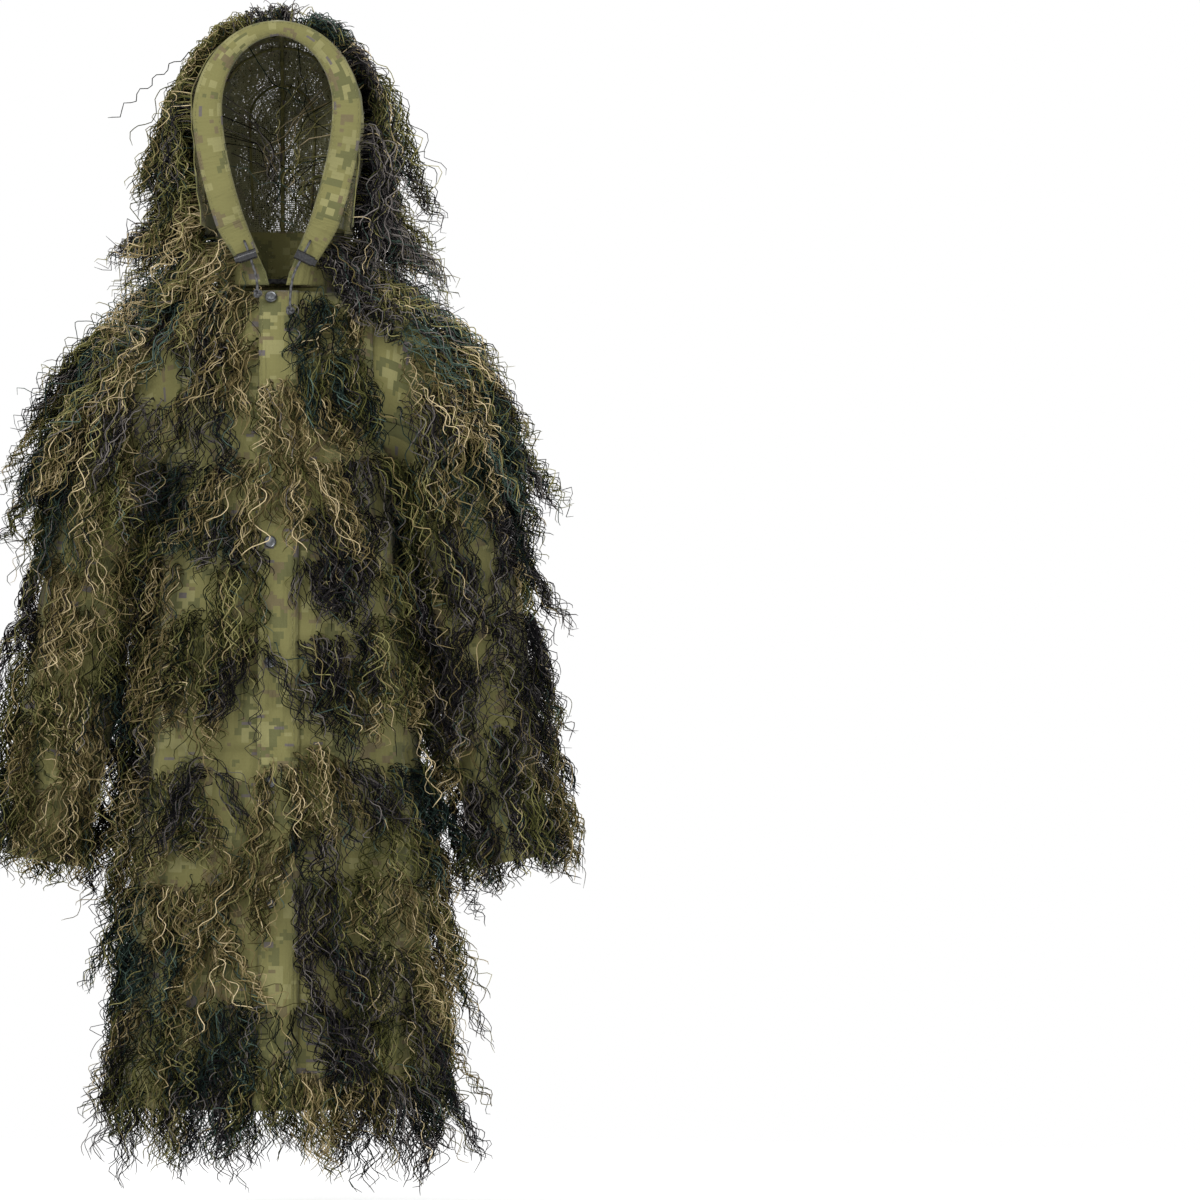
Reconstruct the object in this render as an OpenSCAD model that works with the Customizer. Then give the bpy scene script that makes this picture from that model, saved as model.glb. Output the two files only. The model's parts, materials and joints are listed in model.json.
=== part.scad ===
/* [Coat] */
// Half width of the coat at the hem
hem_half_w = 198; // [180:1:225]
// Half depth of the coat at the hem
hem_half_d = 148; // [130:1:165]
// Half width of the coat at the waist
waist_half_w = 168; // [158:1:178]
// Half depth of the coat at the chest
chest_half_d = 122; // [110:1:140]
// Length from the neck to the hem
coat_l = 1010; // [880:5:1180]
// Level of the gathered waist, below the neck
waist_drop = 540; // [500:5:580]

/* [Sleeves] */
// Half distance between the two shoulder centres
shoulder_half_w = 190; // [186:1:205]
// Length of a sleeve from the shoulder centre to the cuff
sleeve_l = 600; // [480:5:680]
// Radius of a sleeve at the shoulder
sleeve_r = 66; // [52:1:68]
// Radius of a sleeve at the cuff
cuff_r = 49; // [40:1:56]
// Angle of a hanging sleeve from the vertical
sleeve_tilt = 9.8; // [9:0.2:14]

/* [Hood] */
// Height of the hood above the neck
hood_h = 327; // [285:1:390]
// Half width of the hood
hood_half_w = 104; // [92:1:120]
// Depth of the hood from the brow to the back
hood_d = 240; // [215:1:285]
// Width of the facing around the face
rim_w = 36; // [26:1:40]

/* [Yarn] */
// How far the yarn stands off the cloth on the coat
yarn_t = 14; // [8:1:16]
// How far the yarn stands off the sides of the hood
hood_yarn_t = 52; // [25:1:60]
// How far the last row hangs below the hem
fringe_l = 95; // [60:5:120]

/* [Fasteners] */
// Number of press studs down the placket
snap_count = 6; // [4:1:7]
// Spacing of the press studs
snap_pitch = 148; // [120:1:160]
// Radius of a press stud's cap
cap_r = 7.5; // [6.5:0.1:8]
// Radius of a cord lock's barrel
lock_r = 6.3; // [5.8:0.1:7]
// Length of a cord lock's barrel
lock_l = 24; // [21:0.5:28]

/* [Hidden] */

OLIVE = "#6f7340";
MESH = "#9a9a84";
STRAW = "#8d8355";
MOSS = "#4f5534";
DARK = "#3a3a36";
STEEL = "#6d6f73";
BLACK = "#17171a";

cloth_t = 1.5;
cord_r = 1.6;
gap = 3;
squareness = 2.4;
arm_level = -180;
chest_half_w = 138;
waist_band = 18;
neck_half_w = 76;
neck_rise = 32;
shoulder_slope = 0.43;
yoke_edge = 118;
hood_base = 78;
hood_mid = 215;
hood_front = -112;

// Torso profiles: level against half width, front half depth and back half depth
torso_w = [[-coat_l - 200, hem_half_w + 3], [-coat_l, hem_half_w], [-waist_drop - 160, waist_half_w + 12],
    [-waist_drop, waist_half_w], [-400, 160], [-300, 148], [-250, chest_half_w], [arm_level, 122]];
torso_front = [[-coat_l - 200, hem_half_d + 3], [-coat_l, hem_half_d], [-waist_drop, chest_half_d],
    [-300, chest_half_d + 6], [arm_level, chest_half_d - 4]];
torso_back = [[-coat_l - 200, hem_half_d - 5], [-coat_l, hem_half_d - 8], [-waist_drop, chest_half_d - 8],
    [-300, chest_half_d - 2], [arm_level, chest_half_d - 8]];

// The two fronts turn outwards about a leaning line that starts beside the throat
hinge_top = [58, -130, 75];
hinge_lean = 0.109;
function divide(z) = hinge_top.x + (hinge_top.z - z) * hinge_lean;

function mix(a, b, t) = a + (b - a) * t;
function sgn_pow(v, p) = sign(v) * pow(abs(v), p);
function flip(p, side) = [side * p.x, p.y, p.z];

// Point on the coat below the arms: angle 0 is the centre front, 90 is the wearer's left
function coat(ang, z, off) = [
    (lookup(z, torso_w) + off) * sgn_pow(sin(ang), 2 / squareness),
    -((cos(ang) > 0 ? lookup(z, torso_front) : lookup(z, torso_back)) + off)
        * sgn_pow(cos(ang), 2 / squareness),
    z];
function coat_ang(x, z) = asin(sign(x) * pow(min(1, abs(x) / lookup(z, torso_w)), squareness / 2));

// Point on the shoulders: q 0 is the shoulder seam and 90 is the arm level, face -1 front, 1 back
function ridge(x) = neck_rise - abs(x) * shoulder_slope;
function shoulder(x, q, face, off) = [
    x,
    face * ((face < 0 ? torso_front[4][1] : torso_back[4][1]) + off)
        * pow(1 - pow(abs(x) / 150, squareness), 1 / squareness) * pow(sin(q), 2 / 3),
    arm_level + (ridge(x) + off - arm_level) * pow(cos(q), 2 / 3)];
function neck_q(x) = ridge(x) > -3.5 ? acos(pow((-4 - arm_level) / (ridge(x) - arm_level), 1.5)) : 0.6;

// Point on the collar between the neck seam and the hood
function collar(ang, z, off) = [
    (mix(neck_half_w, 79, z / 60) + off) * sgn_pow(sin(ang), 0.9),
    cos(ang) > 0 ? -(mix(94, 104, z / 60) + off) * sgn_pow(cos(ang), 0.9)
        : (mix(80, 86, z / 60) + off) * sgn_pow(-cos(ang), 0.9),
    z];

// Point on the hood: u runs over the head from -1 to 1, t from the face to the back
hood_w = [[0, 76], [hood_base, hood_half_w - 14], [150, hood_half_w - 4], [hood_mid, hood_half_w]];
hood_straight = 0.35;
function hood_q(t) = max(0, (t - hood_straight) / (1 - hood_straight)) * 90;
function hood_y(t) = mix(hood_front, -20, min(1, t / hood_straight));
function hood(u, t, off) = let (
    q = hood_q(t),
    k = pow(cos(q), 0.83),
    y = hood_y(t) + (hood_d - 92 + off) * pow(sin(q), 0.83),
    low = hood_base - (y - hood_front) * 0.1,
    turn = min(0.5, abs(u)) * 180,
    z = mix(hood_mid, low, max(0, abs(u) - 0.5) * 2),
    top = (hood_h - hood_mid + off) * cos(turn) * k,
    half = (lookup(z, hood_w) + off) * sin(turn) * k)
    [sign(u) * half, y, z + top];

// Point on the wearer's left sleeve: ang 0 is the outside, t is the distance below the shoulder centre
shoulder_c = [shoulder_half_w, 0, -115];
function sleeve_rad(t) = t < 0 ? sqrt(sleeve_r * sleeve_r - t * t) : mix(sleeve_r, cuff_r, t / sleeve_l);
function sleeve(ang, t, off) = let (
    r = sleeve_rad(t) + off * (t < 0 ? sqrt(1 - t * t / sleeve_r / sleeve_r) : 1),
    along = t + (t < 0 ? off * t / sleeve_r : 0),
    out = r * cos(ang))
    shoulder_c + [
        along * sin(sleeve_tilt) + out * cos(sleeve_tilt),
        r * sin(ang),
        -along * cos(sleeve_tilt) + out * sin(sleeve_tilt)];

// Closed sheet between two offsets of a surface, as f(i, j, offset) with i and j from 0 to 1
module sheet(f, nu, nv, low, high) {
    w = nu + 1;
    n = w * (nv + 1);
    points = [for (off = [low, high], j = [0:nv], i = [0:nu]) f(i / nu, j / nv, off)];
    under = [for (j = [0:nv - 1], i = [0:nu - 1]) let (a = j * w + i)
        each [[a, a + 1, a + w], [a + 1, a + w + 1, a + w]]];
    over = [for (j = [0:nv - 1], i = [0:nu - 1]) let (a = n + j * w + i)
        each [[a, a + w, a + 1], [a + 1, a + w, a + w + 1]]];
    ends = [for (i = [0:nu - 1]) each [
        [i, i + n, i + 1], [i + 1, i + n, i + 1 + n],
        [nv * w + i, nv * w + i + 1, nv * w + i + n],
        [nv * w + i + 1, nv * w + i + 1 + n, nv * w + i + n]]];
    sides = [for (j = [0:nv - 1]) let (a = j * w, b = j * w + nu) each [
        [a, a + w, a + n], [a + w, a + w + n, a + n],
        [b, b + n, b + w], [b + w, b + n, b + w + n]]];
    polyhedron(points, concat(under, over, ends, sides));
}

// Ring-shaped tube: the same sheet joined to itself along i
module sheet_ring(f, nu, nv, low, high) {
    n = nu * (nv + 1);
    points = [for (off = [low, high], j = [0:nv], i = [0:nu - 1]) f(i / nu, j / nv, off)];
    walls = [for (j = [0:nv - 1], i = [0:nu - 1]) let (
        a = j * nu + i, b = j * nu + (i + 1) % nu, c = a + nu, d = b + nu)
        each [[a, b, c], [b, d, c], [a + n, c + n, b + n], [b + n, c + n, d + n]]];
    ends = [for (i = [0:nu - 1]) let (a = i, b = (i + 1) % nu, c = nv * nu + a, d = nv * nu + b)
        each [[a, a + n, b], [b, a + n, b + n], [c, d, c + n], [d, d + n, c + n]]];
    polyhedron(points, concat(walls, ends));
}

// Round cord along a list of points; up is never parallel to the route
module cord(route, r, up, sides = 8) {
    last = len(route) - 1;
    rings = [for (k = [0:last]) let (
        dir = route[min(k + 1, last)] - route[max(k - 1, 0)],
        d = dir / norm(dir),
        s = cross(d, up) / norm(cross(d, up)),
        v = cross(s, d))
        each [for (i = [0:sides - 1]) route[k] + r * (cos(i * 360 / sides) * s + sin(i * 360 / sides) * v)]];
    walls = [for (k = [0:last - 1], i = [0:sides - 1]) let (
        a = k * sides + i,
        b = k * sides + (i + 1) % sides)
        each [[a, b, a + sides], [b, b + sides, a + sides]]];
    caps = [[for (i = [sides - 1:-1:0]) i], [for (i = [0:sides - 1]) last * sides + i]];
    polyhedron(rings, concat(walls, caps));
}

// A tidy stretch of the coat between two angles and two levels
module coat_sheet(from, to, top, bottom, low, high, nu = 8, nv = 8) {
    sheet(function (i, j, off) let (z = mix(top, bottom, j)) coat(mix(from(z), to(z), i), z, off),
        nu, nv, low, high);
}
module waist_sheet(from, to, low, high, nu = 8) {
    coat_sheet(from, to, -waist_drop + waist_band, -waist_drop - waist_band, low, high, nu, 2);
}

// Angles along the coat where one body ends and the next begins
placket_inner = 11;
front_edge = function (z) coat_ang(divide(z) + gap, z);
front_inner = function (z) coat_ang(divide(z) - gap, z);
side_edge = function (z) 118;
back_edge = function (z) 119;
back_far = function (z) 241;
placket_seam = function (z) coat_ang(placket_inner, z);
underlap = function (z) coat_ang(-4, z);
function at(angle) = function (z) angle;

// Rows of yarn: level of each row's top, and how far it hangs
row_pitch = 110;
row_l = 92;
upper_rows = [for (z = [-190:-row_pitch:-waist_drop + waist_band + row_l]) z];
skirt_top = -waist_drop - waist_band - 12;
skirt_rows = [for (z = [skirt_top:-row_pitch:-coat_l + 40]) z];
function row_end(z) = z <= -coat_l + 150 ? -coat_l - fringe_l : z - row_l;
module yarn_rows(from, to, rows, nu = 6) {
    for (z = rows)
        if (z > -coat_l + 150 || z == rows[len(rows) - 1])
            coat_sheet(from, to, z, row_end(z), 4.5, 4.5 + yarn_t, nu, 3);
}

// ---- back of the coat ----
module back_panel() {
    color(OLIVE)
        coat_sheet(back_edge, back_far, arm_level - 3, -waist_drop + waist_band + 2, 0, cloth_t, 14, 6);
}
module side_panel() {
    coat_sheet(front_edge, side_edge, arm_level - 3, -waist_drop + waist_band + 2, 0, cloth_t, 8, 8);
}
module side_panel_left() {
    color(OLIVE) side_panel();
}
module side_panel_right() {
    color(OLIVE) mirror([1, 0, 0]) side_panel();
}
module waist_casing_back() {
    color(OLIVE) waist_sheet(front_edge, function (z) 360 - front_edge(z), 1.8, 3.2, 26);
}
module waist_elastic_back() {
    color("ivory") waist_sheet(front_edge, function (z) 360 - front_edge(z), -0.2, 1.3, 26);
}
module skirt_back_mesh() {
    color(MESH)
        coat_sheet(back_edge, back_far, -waist_drop - waist_band - 2, -coat_l + 22, 0, cloth_t, 12, 8);
}
module skirt_side() {
    coat_sheet(front_edge, side_edge, -waist_drop - waist_band - 2, -coat_l + 22, 0, cloth_t, 8, 8);
}
module skirt_side_left() {
    color(OLIVE) skirt_side();
}
module skirt_side_right() {
    color(OLIVE) mirror([1, 0, 0]) skirt_side();
}
module hem_tape_back() {
    color(OLIVE) coat_sheet(front_edge, function (z) 360 - front_edge(z), -coat_l + 20, -coat_l, 0, 2, 26, 1);
}

// ---- shoulders and neck ----
module shoulder_sheet(x1, x2, q1, q2, face, low, high, nu, nv) {
    sheet(function (i, j, off) let (x = mix(x1, x2, i)) shoulder(x, mix(q1(x), q2(x), j), -face, off),
        nu, nv, low, high);
}
module yoke_back() {
    color(OLIVE) mirror([0, 1, 0])
        shoulder_sheet(-yoke_edge, yoke_edge, function (x) neck_q(x), function (x) 88, 1, 0, cloth_t, 18, 8);
}
module yoke_left() {
    color(OLIVE) {
        shoulder_sheet(50, yoke_edge, function (x) neck_q(x), function (x) 36, 1, 0, cloth_t, 8, 5);
        shoulder_sheet(divide(arm_level) + gap, yoke_edge, function (x) 36.5, function (x) 88, 1,
            0, cloth_t, 2, 6);
    }
}
module yoke_right() {
    mirror([1, 0, 0]) yoke_left();
}
module collar_back() {
    color(OLIVE) sheet(function (i, j, off) collar(mix(54, 306, i), mix(4, 52, j), off), 22, 3, 0, cloth_t);
}
module neck_tape() {
    color(OLIVE) sheet(function (i, j, off) collar(mix(120, 240, i), mix(6, 20, j), off), 10, 1, -3, -0.6);
}
// The strap is sewn down at its ends and stands away from the tape in between, so a hook goes through
hanger_bow = 7;
module hanger_loop() {
    color(DARK) sheet(function (i, j, off) let (bow = hanger_bow * pow(sin(180 * i), 0.7))
        collar(mix(153, 207, i), mix(10, 16, j), off - bow), 16, 1, -4.8, -3.6);
}

// ---- yarn on the back, the sides and the shoulders ----
module yarn_back() {
    color(MOSS) yarn_rows(at(122), at(238), upper_rows, 9);
}
module yarn_skirt_back() {
    color(DARK) yarn_rows(at(122), at(238), skirt_rows, 9);
}
module yarn_side() {
    yarn_rows(function (z) coat_ang(divide(z) + 8, z), at(119), [for (z = upper_rows) if (z < -350) z], 6);
    yarn_rows(function (z) coat_ang(divide(z) + 8, z), at(119), skirt_rows, 6);
}
module yarn_side_left() {
    color(STRAW) yarn_side();
}
module yarn_side_right() {
    color(MOSS) mirror([1, 0, 0]) yarn_side();
}
module yarn_yoke() {
    color(STRAW) for (span = [[-112, -42], [-37, 37], [42, 112]]) mirror([0, 1, 0])
        shoulder_sheet(span[0], span[1], function (x) max(44, neck_q(x) + 6), function (x) 86, 1,
            4.5, 4.5 + yarn_t, 6, 4);
}

// ---- the two fronts ----
module front_panel(inner_x) {
    shoulder_sheet(inner_x, divide(arm_level) - 14, function (x) max(40, neck_q(x)), function (x) 88.5, 1,
        0, cloth_t, 7, 14);
    coat_sheet(function (z) coat_ang(inner_x, z), front_inner, arm_level - 3, -waist_drop + waist_band + 2,
        0, cloth_t, 7, 26);
}
module front_panel_left() {
    color(OLIVE) front_panel(placket_inner);
}
module front_panel_right() {
    color(OLIVE) difference() {
        mirror([1, 0, 0]) front_panel(-4);
        snap_holes();
    }
}
module skirt_front(edge) {
    coat_sheet(edge, front_inner, -waist_drop - waist_band - 2, -coat_l, 0, cloth_t, 7, 14);
}
module skirt_front_left() {
    color(OLIVE) skirt_front(placket_seam);
}
module skirt_front_right() {
    color(OLIVE) difference() {
        mirror([1, 0, 0]) skirt_front(underlap);
        snap_holes();
    }
}
module waist_casing_left() {
    color(OLIVE) waist_sheet(placket_seam, front_inner, 0, cloth_t, 7);
}
module waist_casing_right() {
    color(OLIVE) mirror([1, 0, 0]) waist_sheet(underlap, front_inner, 0, cloth_t, 7);
}

// Placket: a long strip that laps over the other front
placket_left = 25;
placket_right = -22;
placket_low = 7.5;
placket_high = 9;
// Surface of the fronts at any level, whether above or below the arm level
function front_at(x, z, off) = z < arm_level ? coat(coat_ang(x, z), z, off)
    : let (q = acos(min(1, pow((z - arm_level) / (ridge(x) - arm_level), 1.5)))) shoulder(x, q, -1, off);
module strip(x1, x2, low, high, bottom, nu = 4) {
    sheet(function (i, j, off) front_at(mix(x2, x1, i), mix(-5, bottom, j), off), nu, 84, low, high);
}
module placket() {
    color(OLIVE) difference() {
        strip(placket_left, placket_right, placket_low, placket_high, -coat_l + 2);
        snap_holes();
    }
}
module placket_facing() {
    color(MOSS) strip(placket_left, placket_inner + 4, cloth_t + 0.6, placket_low - 0.6, -coat_l + 4, 2);
}

// Press studs: each sits on the line down the middle of the placket, square to the cloth there.
// Where the chest slopes, the layers stand further apart, and the stud is longer to match
snap_x = -8;
snap_top = -16;
module snap_positions() {
    for (k = [0:snap_count - 1]) let (
        z = snap_top - k * snap_pitch,
        foot = front_at(snap_x, z, 0),
        run = front_at(snap_x, z + 8, 0) - front_at(snap_x, z - 8, 0),
        lean = atan2(run.y, run.z),
        out = front_at(snap_x, z, placket_high) - foot,
        $stretch = (-out.y * cos(lean) + out.z * sin(lean)) / placket_high)
        translate(foot) rotate([-lean, 0, 0]) children();
}
module snap_holes() {
    snap_positions() rotate([90, 0, 0]) cylinder(r = 1.8, h = 26, center = true, $fn = 24);
}
$stretch = 1;
module turned(profile) {
    rotate([90, 0, 0]) rotate_extrude($fn = 48) polygon([for (p = profile) [p.x, p.y * $stretch]]);
}
module snap_caps() {
    color(STEEL) snap_positions() turned([[0, 5.6], [1.6, 5.6], [1.6, 9.9], [cap_r - 0.4, 9.9], [cap_r, 10.5],
        [cap_r, 10.9], [cap_r - 1.2, 12], [cap_r - 2.4, 11.5], [cap_r - 3.4, 11.5], [0, 12.2]]);
}
module snap_sockets() {
    color(STEEL) snap_positions() turned([[3.3, 3.5], [5.4, 3.5], [6, 4], [6, 6.3], [1.65, 6.3], [1.65, 5.5],
        [3.3, 5.5]]);
}
// Each stud is held through the cloth by a rivet from inside
module snap_studs() {
    color(STEEL) snap_positions() {
        turned([[1.35, 2.55], [5, 2.55], [5, 3.2], [1.9, 3.2], [2.1, 4], [1.9, 4.7], [1.35, 4.7]]);
        turned([[0, -1.6], [4.6, -1.6], [4.6, -0.85], [1.3, -0.85], [1.3, 4.5], [0, 4.5]]);
    }
}

// Collar fronts: they rise on each side of the open throat and hold the drawcord's eyelets
throat_w = [[4, 10], [20, 14], [50, 28], [66, 34]];
module collar_front() {
    sheet(function (i, j, off) let (z = mix(4, 66, j))
        collar(mix(asin(pow(lookup(z, throat_w) / mix(neck_half_w, 79, z / 60), 1.1)), 42, i), z, off),
        8, 5, 0, 2);
}
module collar_front_left() {
    color(OLIVE) difference() {
        collar_front();
        translate(eyelet_pos) rotate([90, 0, 0]) cylinder(r = 3.2, h = 20, center = true, $fn = 32);
    }
}
module collar_front_right() {
    color(OLIVE) difference() {
        mirror([1, 0, 0]) collar_front();
        translate(flip(eyelet_pos, -1)) rotate([90, 0, 0]) cylinder(r = 3.2, h = 20, center = true, $fn = 32);
    }
}
eyelet_pos = [41, -98.5, 58];
module eyelet() {
    turned([[1.9, -2.6], [3, -2.6], [3, 3.6], [5.5, 3.6], [5.5, 4.4], [4.6, 5], [2.6, 5], [1.9, 4.2]]);
}
module eyelet_left() {
    color(STEEL) translate(eyelet_pos) eyelet();
}
module eyelet_right() {
    color(STEEL) translate(flip(eyelet_pos, -1)) eyelet();
}

module yarn_front(inner_x, edge_gap) {
    shoulder_sheet(inner_x, divide(arm_level) - 16, function (x) max(58, neck_q(x) + 12), function (x) 86, 1,
        4.5, 4.5 + yarn_t, 4, 3);
    from = function (z) coat_ang(inner_x, z);
    to = function (z) coat_ang(divide(z) - edge_gap, z);
    yarn_rows(from, to, upper_rows, 5);
    yarn_rows(from, to, skirt_rows, 5);
}
module yarn_front_left() {
    color(DARK) yarn_front(30, 12);
}
module yarn_front_right() {
    color(STRAW) mirror([1, 0, 0]) yarn_front(30, 12);
}

// ---- hood ----
module hood_sheet(u1, u2, t1, t2, low, high, nu, nv) {
    sheet(function (i, j, off) hood(mix(u2, u1, i), mix(t1, t2, j), off), nu, nv, low, high);
}
hood_split = 0.6;
module hood_left() {
    color(OLIVE) hood_sheet(0.205, 1, 0.02, hood_split, 0, cloth_t, 8, 6);
}
module hood_right() {
    color(OLIVE) hood_sheet(-1, -0.205, 0.02, hood_split, 0, cloth_t, 8, 6);
}
module hood_top() {
    color(OLIVE) hood_sheet(-0.2, 0.2, 0.02, hood_split, 0, cloth_t, 6, 6);
}
module hood_back_mesh() {
    color(MESH) hood_sheet(-1, 1, hood_split + 0.01, 0.994, 0, cloth_t, 20, 8);
}

// Line along the middle of the facing: two legs and an arch
rim_half_w = hood_half_w - rim_w / 2;
rim_arch_z = hood_h - 8 - hood_mid;
function rim_line(s) = let (turn = min(0.6, abs(s)) / 0.6 * 90, leg = max(0, abs(s) - 0.6) / 0.4)
    [sign(s) * mix(rim_half_w * sin(turn), 58, pow(leg, 1.6)),
        mix(hood_mid + rim_arch_z * cos(turn), hood_base + 3, leg)];
function rim_point(s, v, off) = let (
    a = rim_line(s - 0.01), b = rim_line(s + 0.01), d = (b - a) / norm(b - a),
    half = mix(8, rim_w / 2, min(1, abs(s) / 0.4)),
    p = rim_line(s) + mix(-half, half, v) * [d.y, -d.x])
    [p.x, hood_front - 3 - off, p.y];
module hood_rim() {
    color(OLIVE) sheet(function (i, j, off) rim_point(mix(-0.985, 0.985, i), 1 - j, off), 30, 1, 0, cloth_t);
}
module hood_drawcord() {
    route = [for (k = [-14:14]) let (p = rim_line(k / 14.4)) [p.x * 0.94, hood_front + 0.2, p.y - 2]];
    color(DARK) cord(route, cord_r - 0.3, [0, 1, 0]);
}
module yarn_hood() {
    color(DARK) {
        for (side = [-1, 1]) for (t = [0.04, 0.32]) mirror([side < 0 ? 1 : 0, 0, 0])
            hood_sheet(0.36, 0.93, t, t + 0.25, 4.5, hood_yarn_t, 5, 3);
        hood_sheet(-0.33, 0.33, 0.12, 0.55, 4.5, 4.5 + yarn_t, 6, 4);
        for (span = [[-0.92, -0.34], [-0.3, 0.3], [0.34, 0.92]])
            hood_sheet(span[0], span[1], 0.64, 0.93, 4.5, 4.5 + yarn_t, 5, 3);
    }
}

// ---- sleeves ----
module sleeve_shell() {
    sheet(function (i, j, off) sleeve(mix(115, -115, i), mix(-60, 38, j), off), 11, 6, 0, cloth_t);
    sheet_ring(function (i, j, off) sleeve(-360 * i, mix(48, sleeve_l - 36, j), off), 20, 7, 0, cloth_t);
}
module cuff() {
    sheet_ring(function (i, j, off) sleeve(-360 * i, mix(sleeve_l - 34, sleeve_l, j), off),
        20, 1, 0, cloth_t);
}
module cuff_elastic() {
    sheet_ring(function (i, j, off) sleeve(-360 * i, mix(sleeve_l - 28, sleeve_l - 8, j), off),
        20, 1, -2.2, -0.6);
}
module yarn_sleeve() {
    sheet(function (i, j, off) sleeve(mix(80, -80, i), mix(-44, 32, j), off), 7, 3, 4.5, 4.5 + yarn_t);
    for (t = [50:row_pitch:sleeve_l - 60])
        sheet(function (i, j, off) sleeve(mix(118, -118, i), mix(t, min(sleeve_l + 10, t + row_l), j), off),
            10, 2, 4.5, 4.5 + yarn_t);
}
module sleeve_left() {
    color(OLIVE) sleeve_shell();
}
module sleeve_right() {
    color(OLIVE) mirror([1, 0, 0]) sleeve_shell();
}
module cuff_left() {
    color(OLIVE) cuff();
}
module cuff_right() {
    color(OLIVE) mirror([1, 0, 0]) cuff();
}
module cuff_elastic_left() {
    color("ivory") cuff_elastic();
}
module cuff_elastic_right() {
    color("ivory") mirror([1, 0, 0]) cuff_elastic();
}
module yarn_sleeve_left() {
    color(DARK) yarn_sleeve();
}
module yarn_sleeve_right() {
    color(STRAW) mirror([1, 0, 0]) yarn_sleeve();
}

// ---- cord tails and their barrel locks ----
// The cord leaves its eyelet forwards, bends down and runs straight through the lock
tail_left_route = [
    [41, -103.5, 58], [40.5, -110, 57.5], [39, -116, 54], [36.5, -119, 49], [33.5, -120, 43],
    [31, -120, 38], [28.5, -120, 33], [26, -120, 28], [23.5, -120, 23], [21, -120, 18],
    [19, -120, 11], [17.5, -120, 3], [16.5, -121, -6], [16, -122, -15], [16, -122, -24]];
tail_right_route = [
    [-41, -103.5, 58], [-40.5, -110, 57.5], [-39, -116, 54], [-37, -119, 49], [-35, -120, 43],
    [-33, -120, 37], [-31, -120, 31], [-29, -120, 25], [-27, -120, 19], [-25.5, -120, 12],
    [-24.5, -121, 5], [-24, -121, -3]];
module cord_tail_left() {
    color(DARK) cord(tail_left_route, cord_r, [0, 1, 0.01]);
}
module cord_tail_right() {
    color(DARK) cord(tail_right_route, cord_r, [0, 1, 0.01]);
}
left_lean = atan2(2.5, 5);
right_lean = -atan2(2, 6);
left_lock_c = [31, -120, 38];
right_lock_c = [-34, -120, 40];
bore_r = cord_r + 0.35;
module lock_barrel() {
    difference() {
        rotate([0, 90, 0]) cylinder(r = lock_r, h = lock_l, center = true, $fn = 48);
        translate([3, 0, 0]) rotate([0, 90, 0]) cylinder(r = lock_r - 1.4, h = lock_l, $fn = 48);
        translate([-3, 0, 0]) cylinder(r = bore_r, h = 3 * lock_r, center = true, $fn = 32);
    }
}
module lock_plunger() {
    translate([8, 0, 0]) rotate([0, 90, 0]) cylinder(r = lock_r - 1.5, h = lock_l / 2 - 8 + 4, $fn = 48);
}
module lock_spring() {
    for (x = [3.5, 4.4])
        translate([x, 0, 0]) rotate([0, 90, 0]) rotate_extrude($fn = 40)
            translate([lock_r - 2.6, 0]) circle(r = 0.35, $fn = 16);
}
module on_left_lock() {
    translate(left_lock_c) rotate([0, left_lean, 0]) translate([3, 0, 0]) children();
}
module on_right_lock() {
    translate(right_lock_c) rotate([0, right_lean, 0]) mirror([1, 0, 0]) translate([3, 0, 0]) children();
}
module lock_left() {
    color(BLACK) on_left_lock() lock_barrel();
}
module lock_right() {
    color(BLACK) on_right_lock() lock_barrel();
}
module plunger_left() {
    color(BLACK) on_left_lock() lock_plunger();
}
module plunger_right() {
    color(BLACK) on_right_lock() lock_plunger();
}
module lock_spring_left() {
    color(STEEL) on_left_lock() lock_spring();
}
module lock_spring_right() {
    color(STEEL) on_right_lock() lock_spring();
}

back_panel();
side_panel_left();
side_panel_right();
waist_casing_back();
waist_elastic_back();
skirt_back_mesh();
skirt_side_left();
skirt_side_right();
hem_tape_back();
yoke_back();
yoke_left();
yoke_right();
collar_back();
neck_tape();
hanger_loop();
yarn_back();
yarn_skirt_back();
yarn_side_left();
yarn_side_right();
yarn_yoke();
front_panel_left();
skirt_front_left();
waist_casing_left();
placket();
placket_facing();
snap_caps();
snap_sockets();
collar_front_left();
eyelet_left();
yarn_front_left();
front_panel_right();
skirt_front_right();
waist_casing_right();
snap_studs();
collar_front_right();
eyelet_right();
yarn_front_right();
hood_left();
hood_right();
hood_top();
hood_back_mesh();
hood_rim();
hood_drawcord();
yarn_hood();
sleeve_left();
cuff_left();
cuff_elastic_left();
yarn_sleeve_left();
sleeve_right();
cuff_right();
cuff_elastic_right();
yarn_sleeve_right();
cord_tail_left();
cord_tail_right();
lock_left();
lock_right();
plunger_left();
plunger_right();
lock_spring_left();
lock_spring_right();
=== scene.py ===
"""Ghillie coat: cloth shell, trims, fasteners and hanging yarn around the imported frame. Metres, +Z up, front at -Y."""
import json
import math

import bpy
import numpy as np
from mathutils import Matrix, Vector
from mathutils.bvhtree import BVHTree

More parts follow.
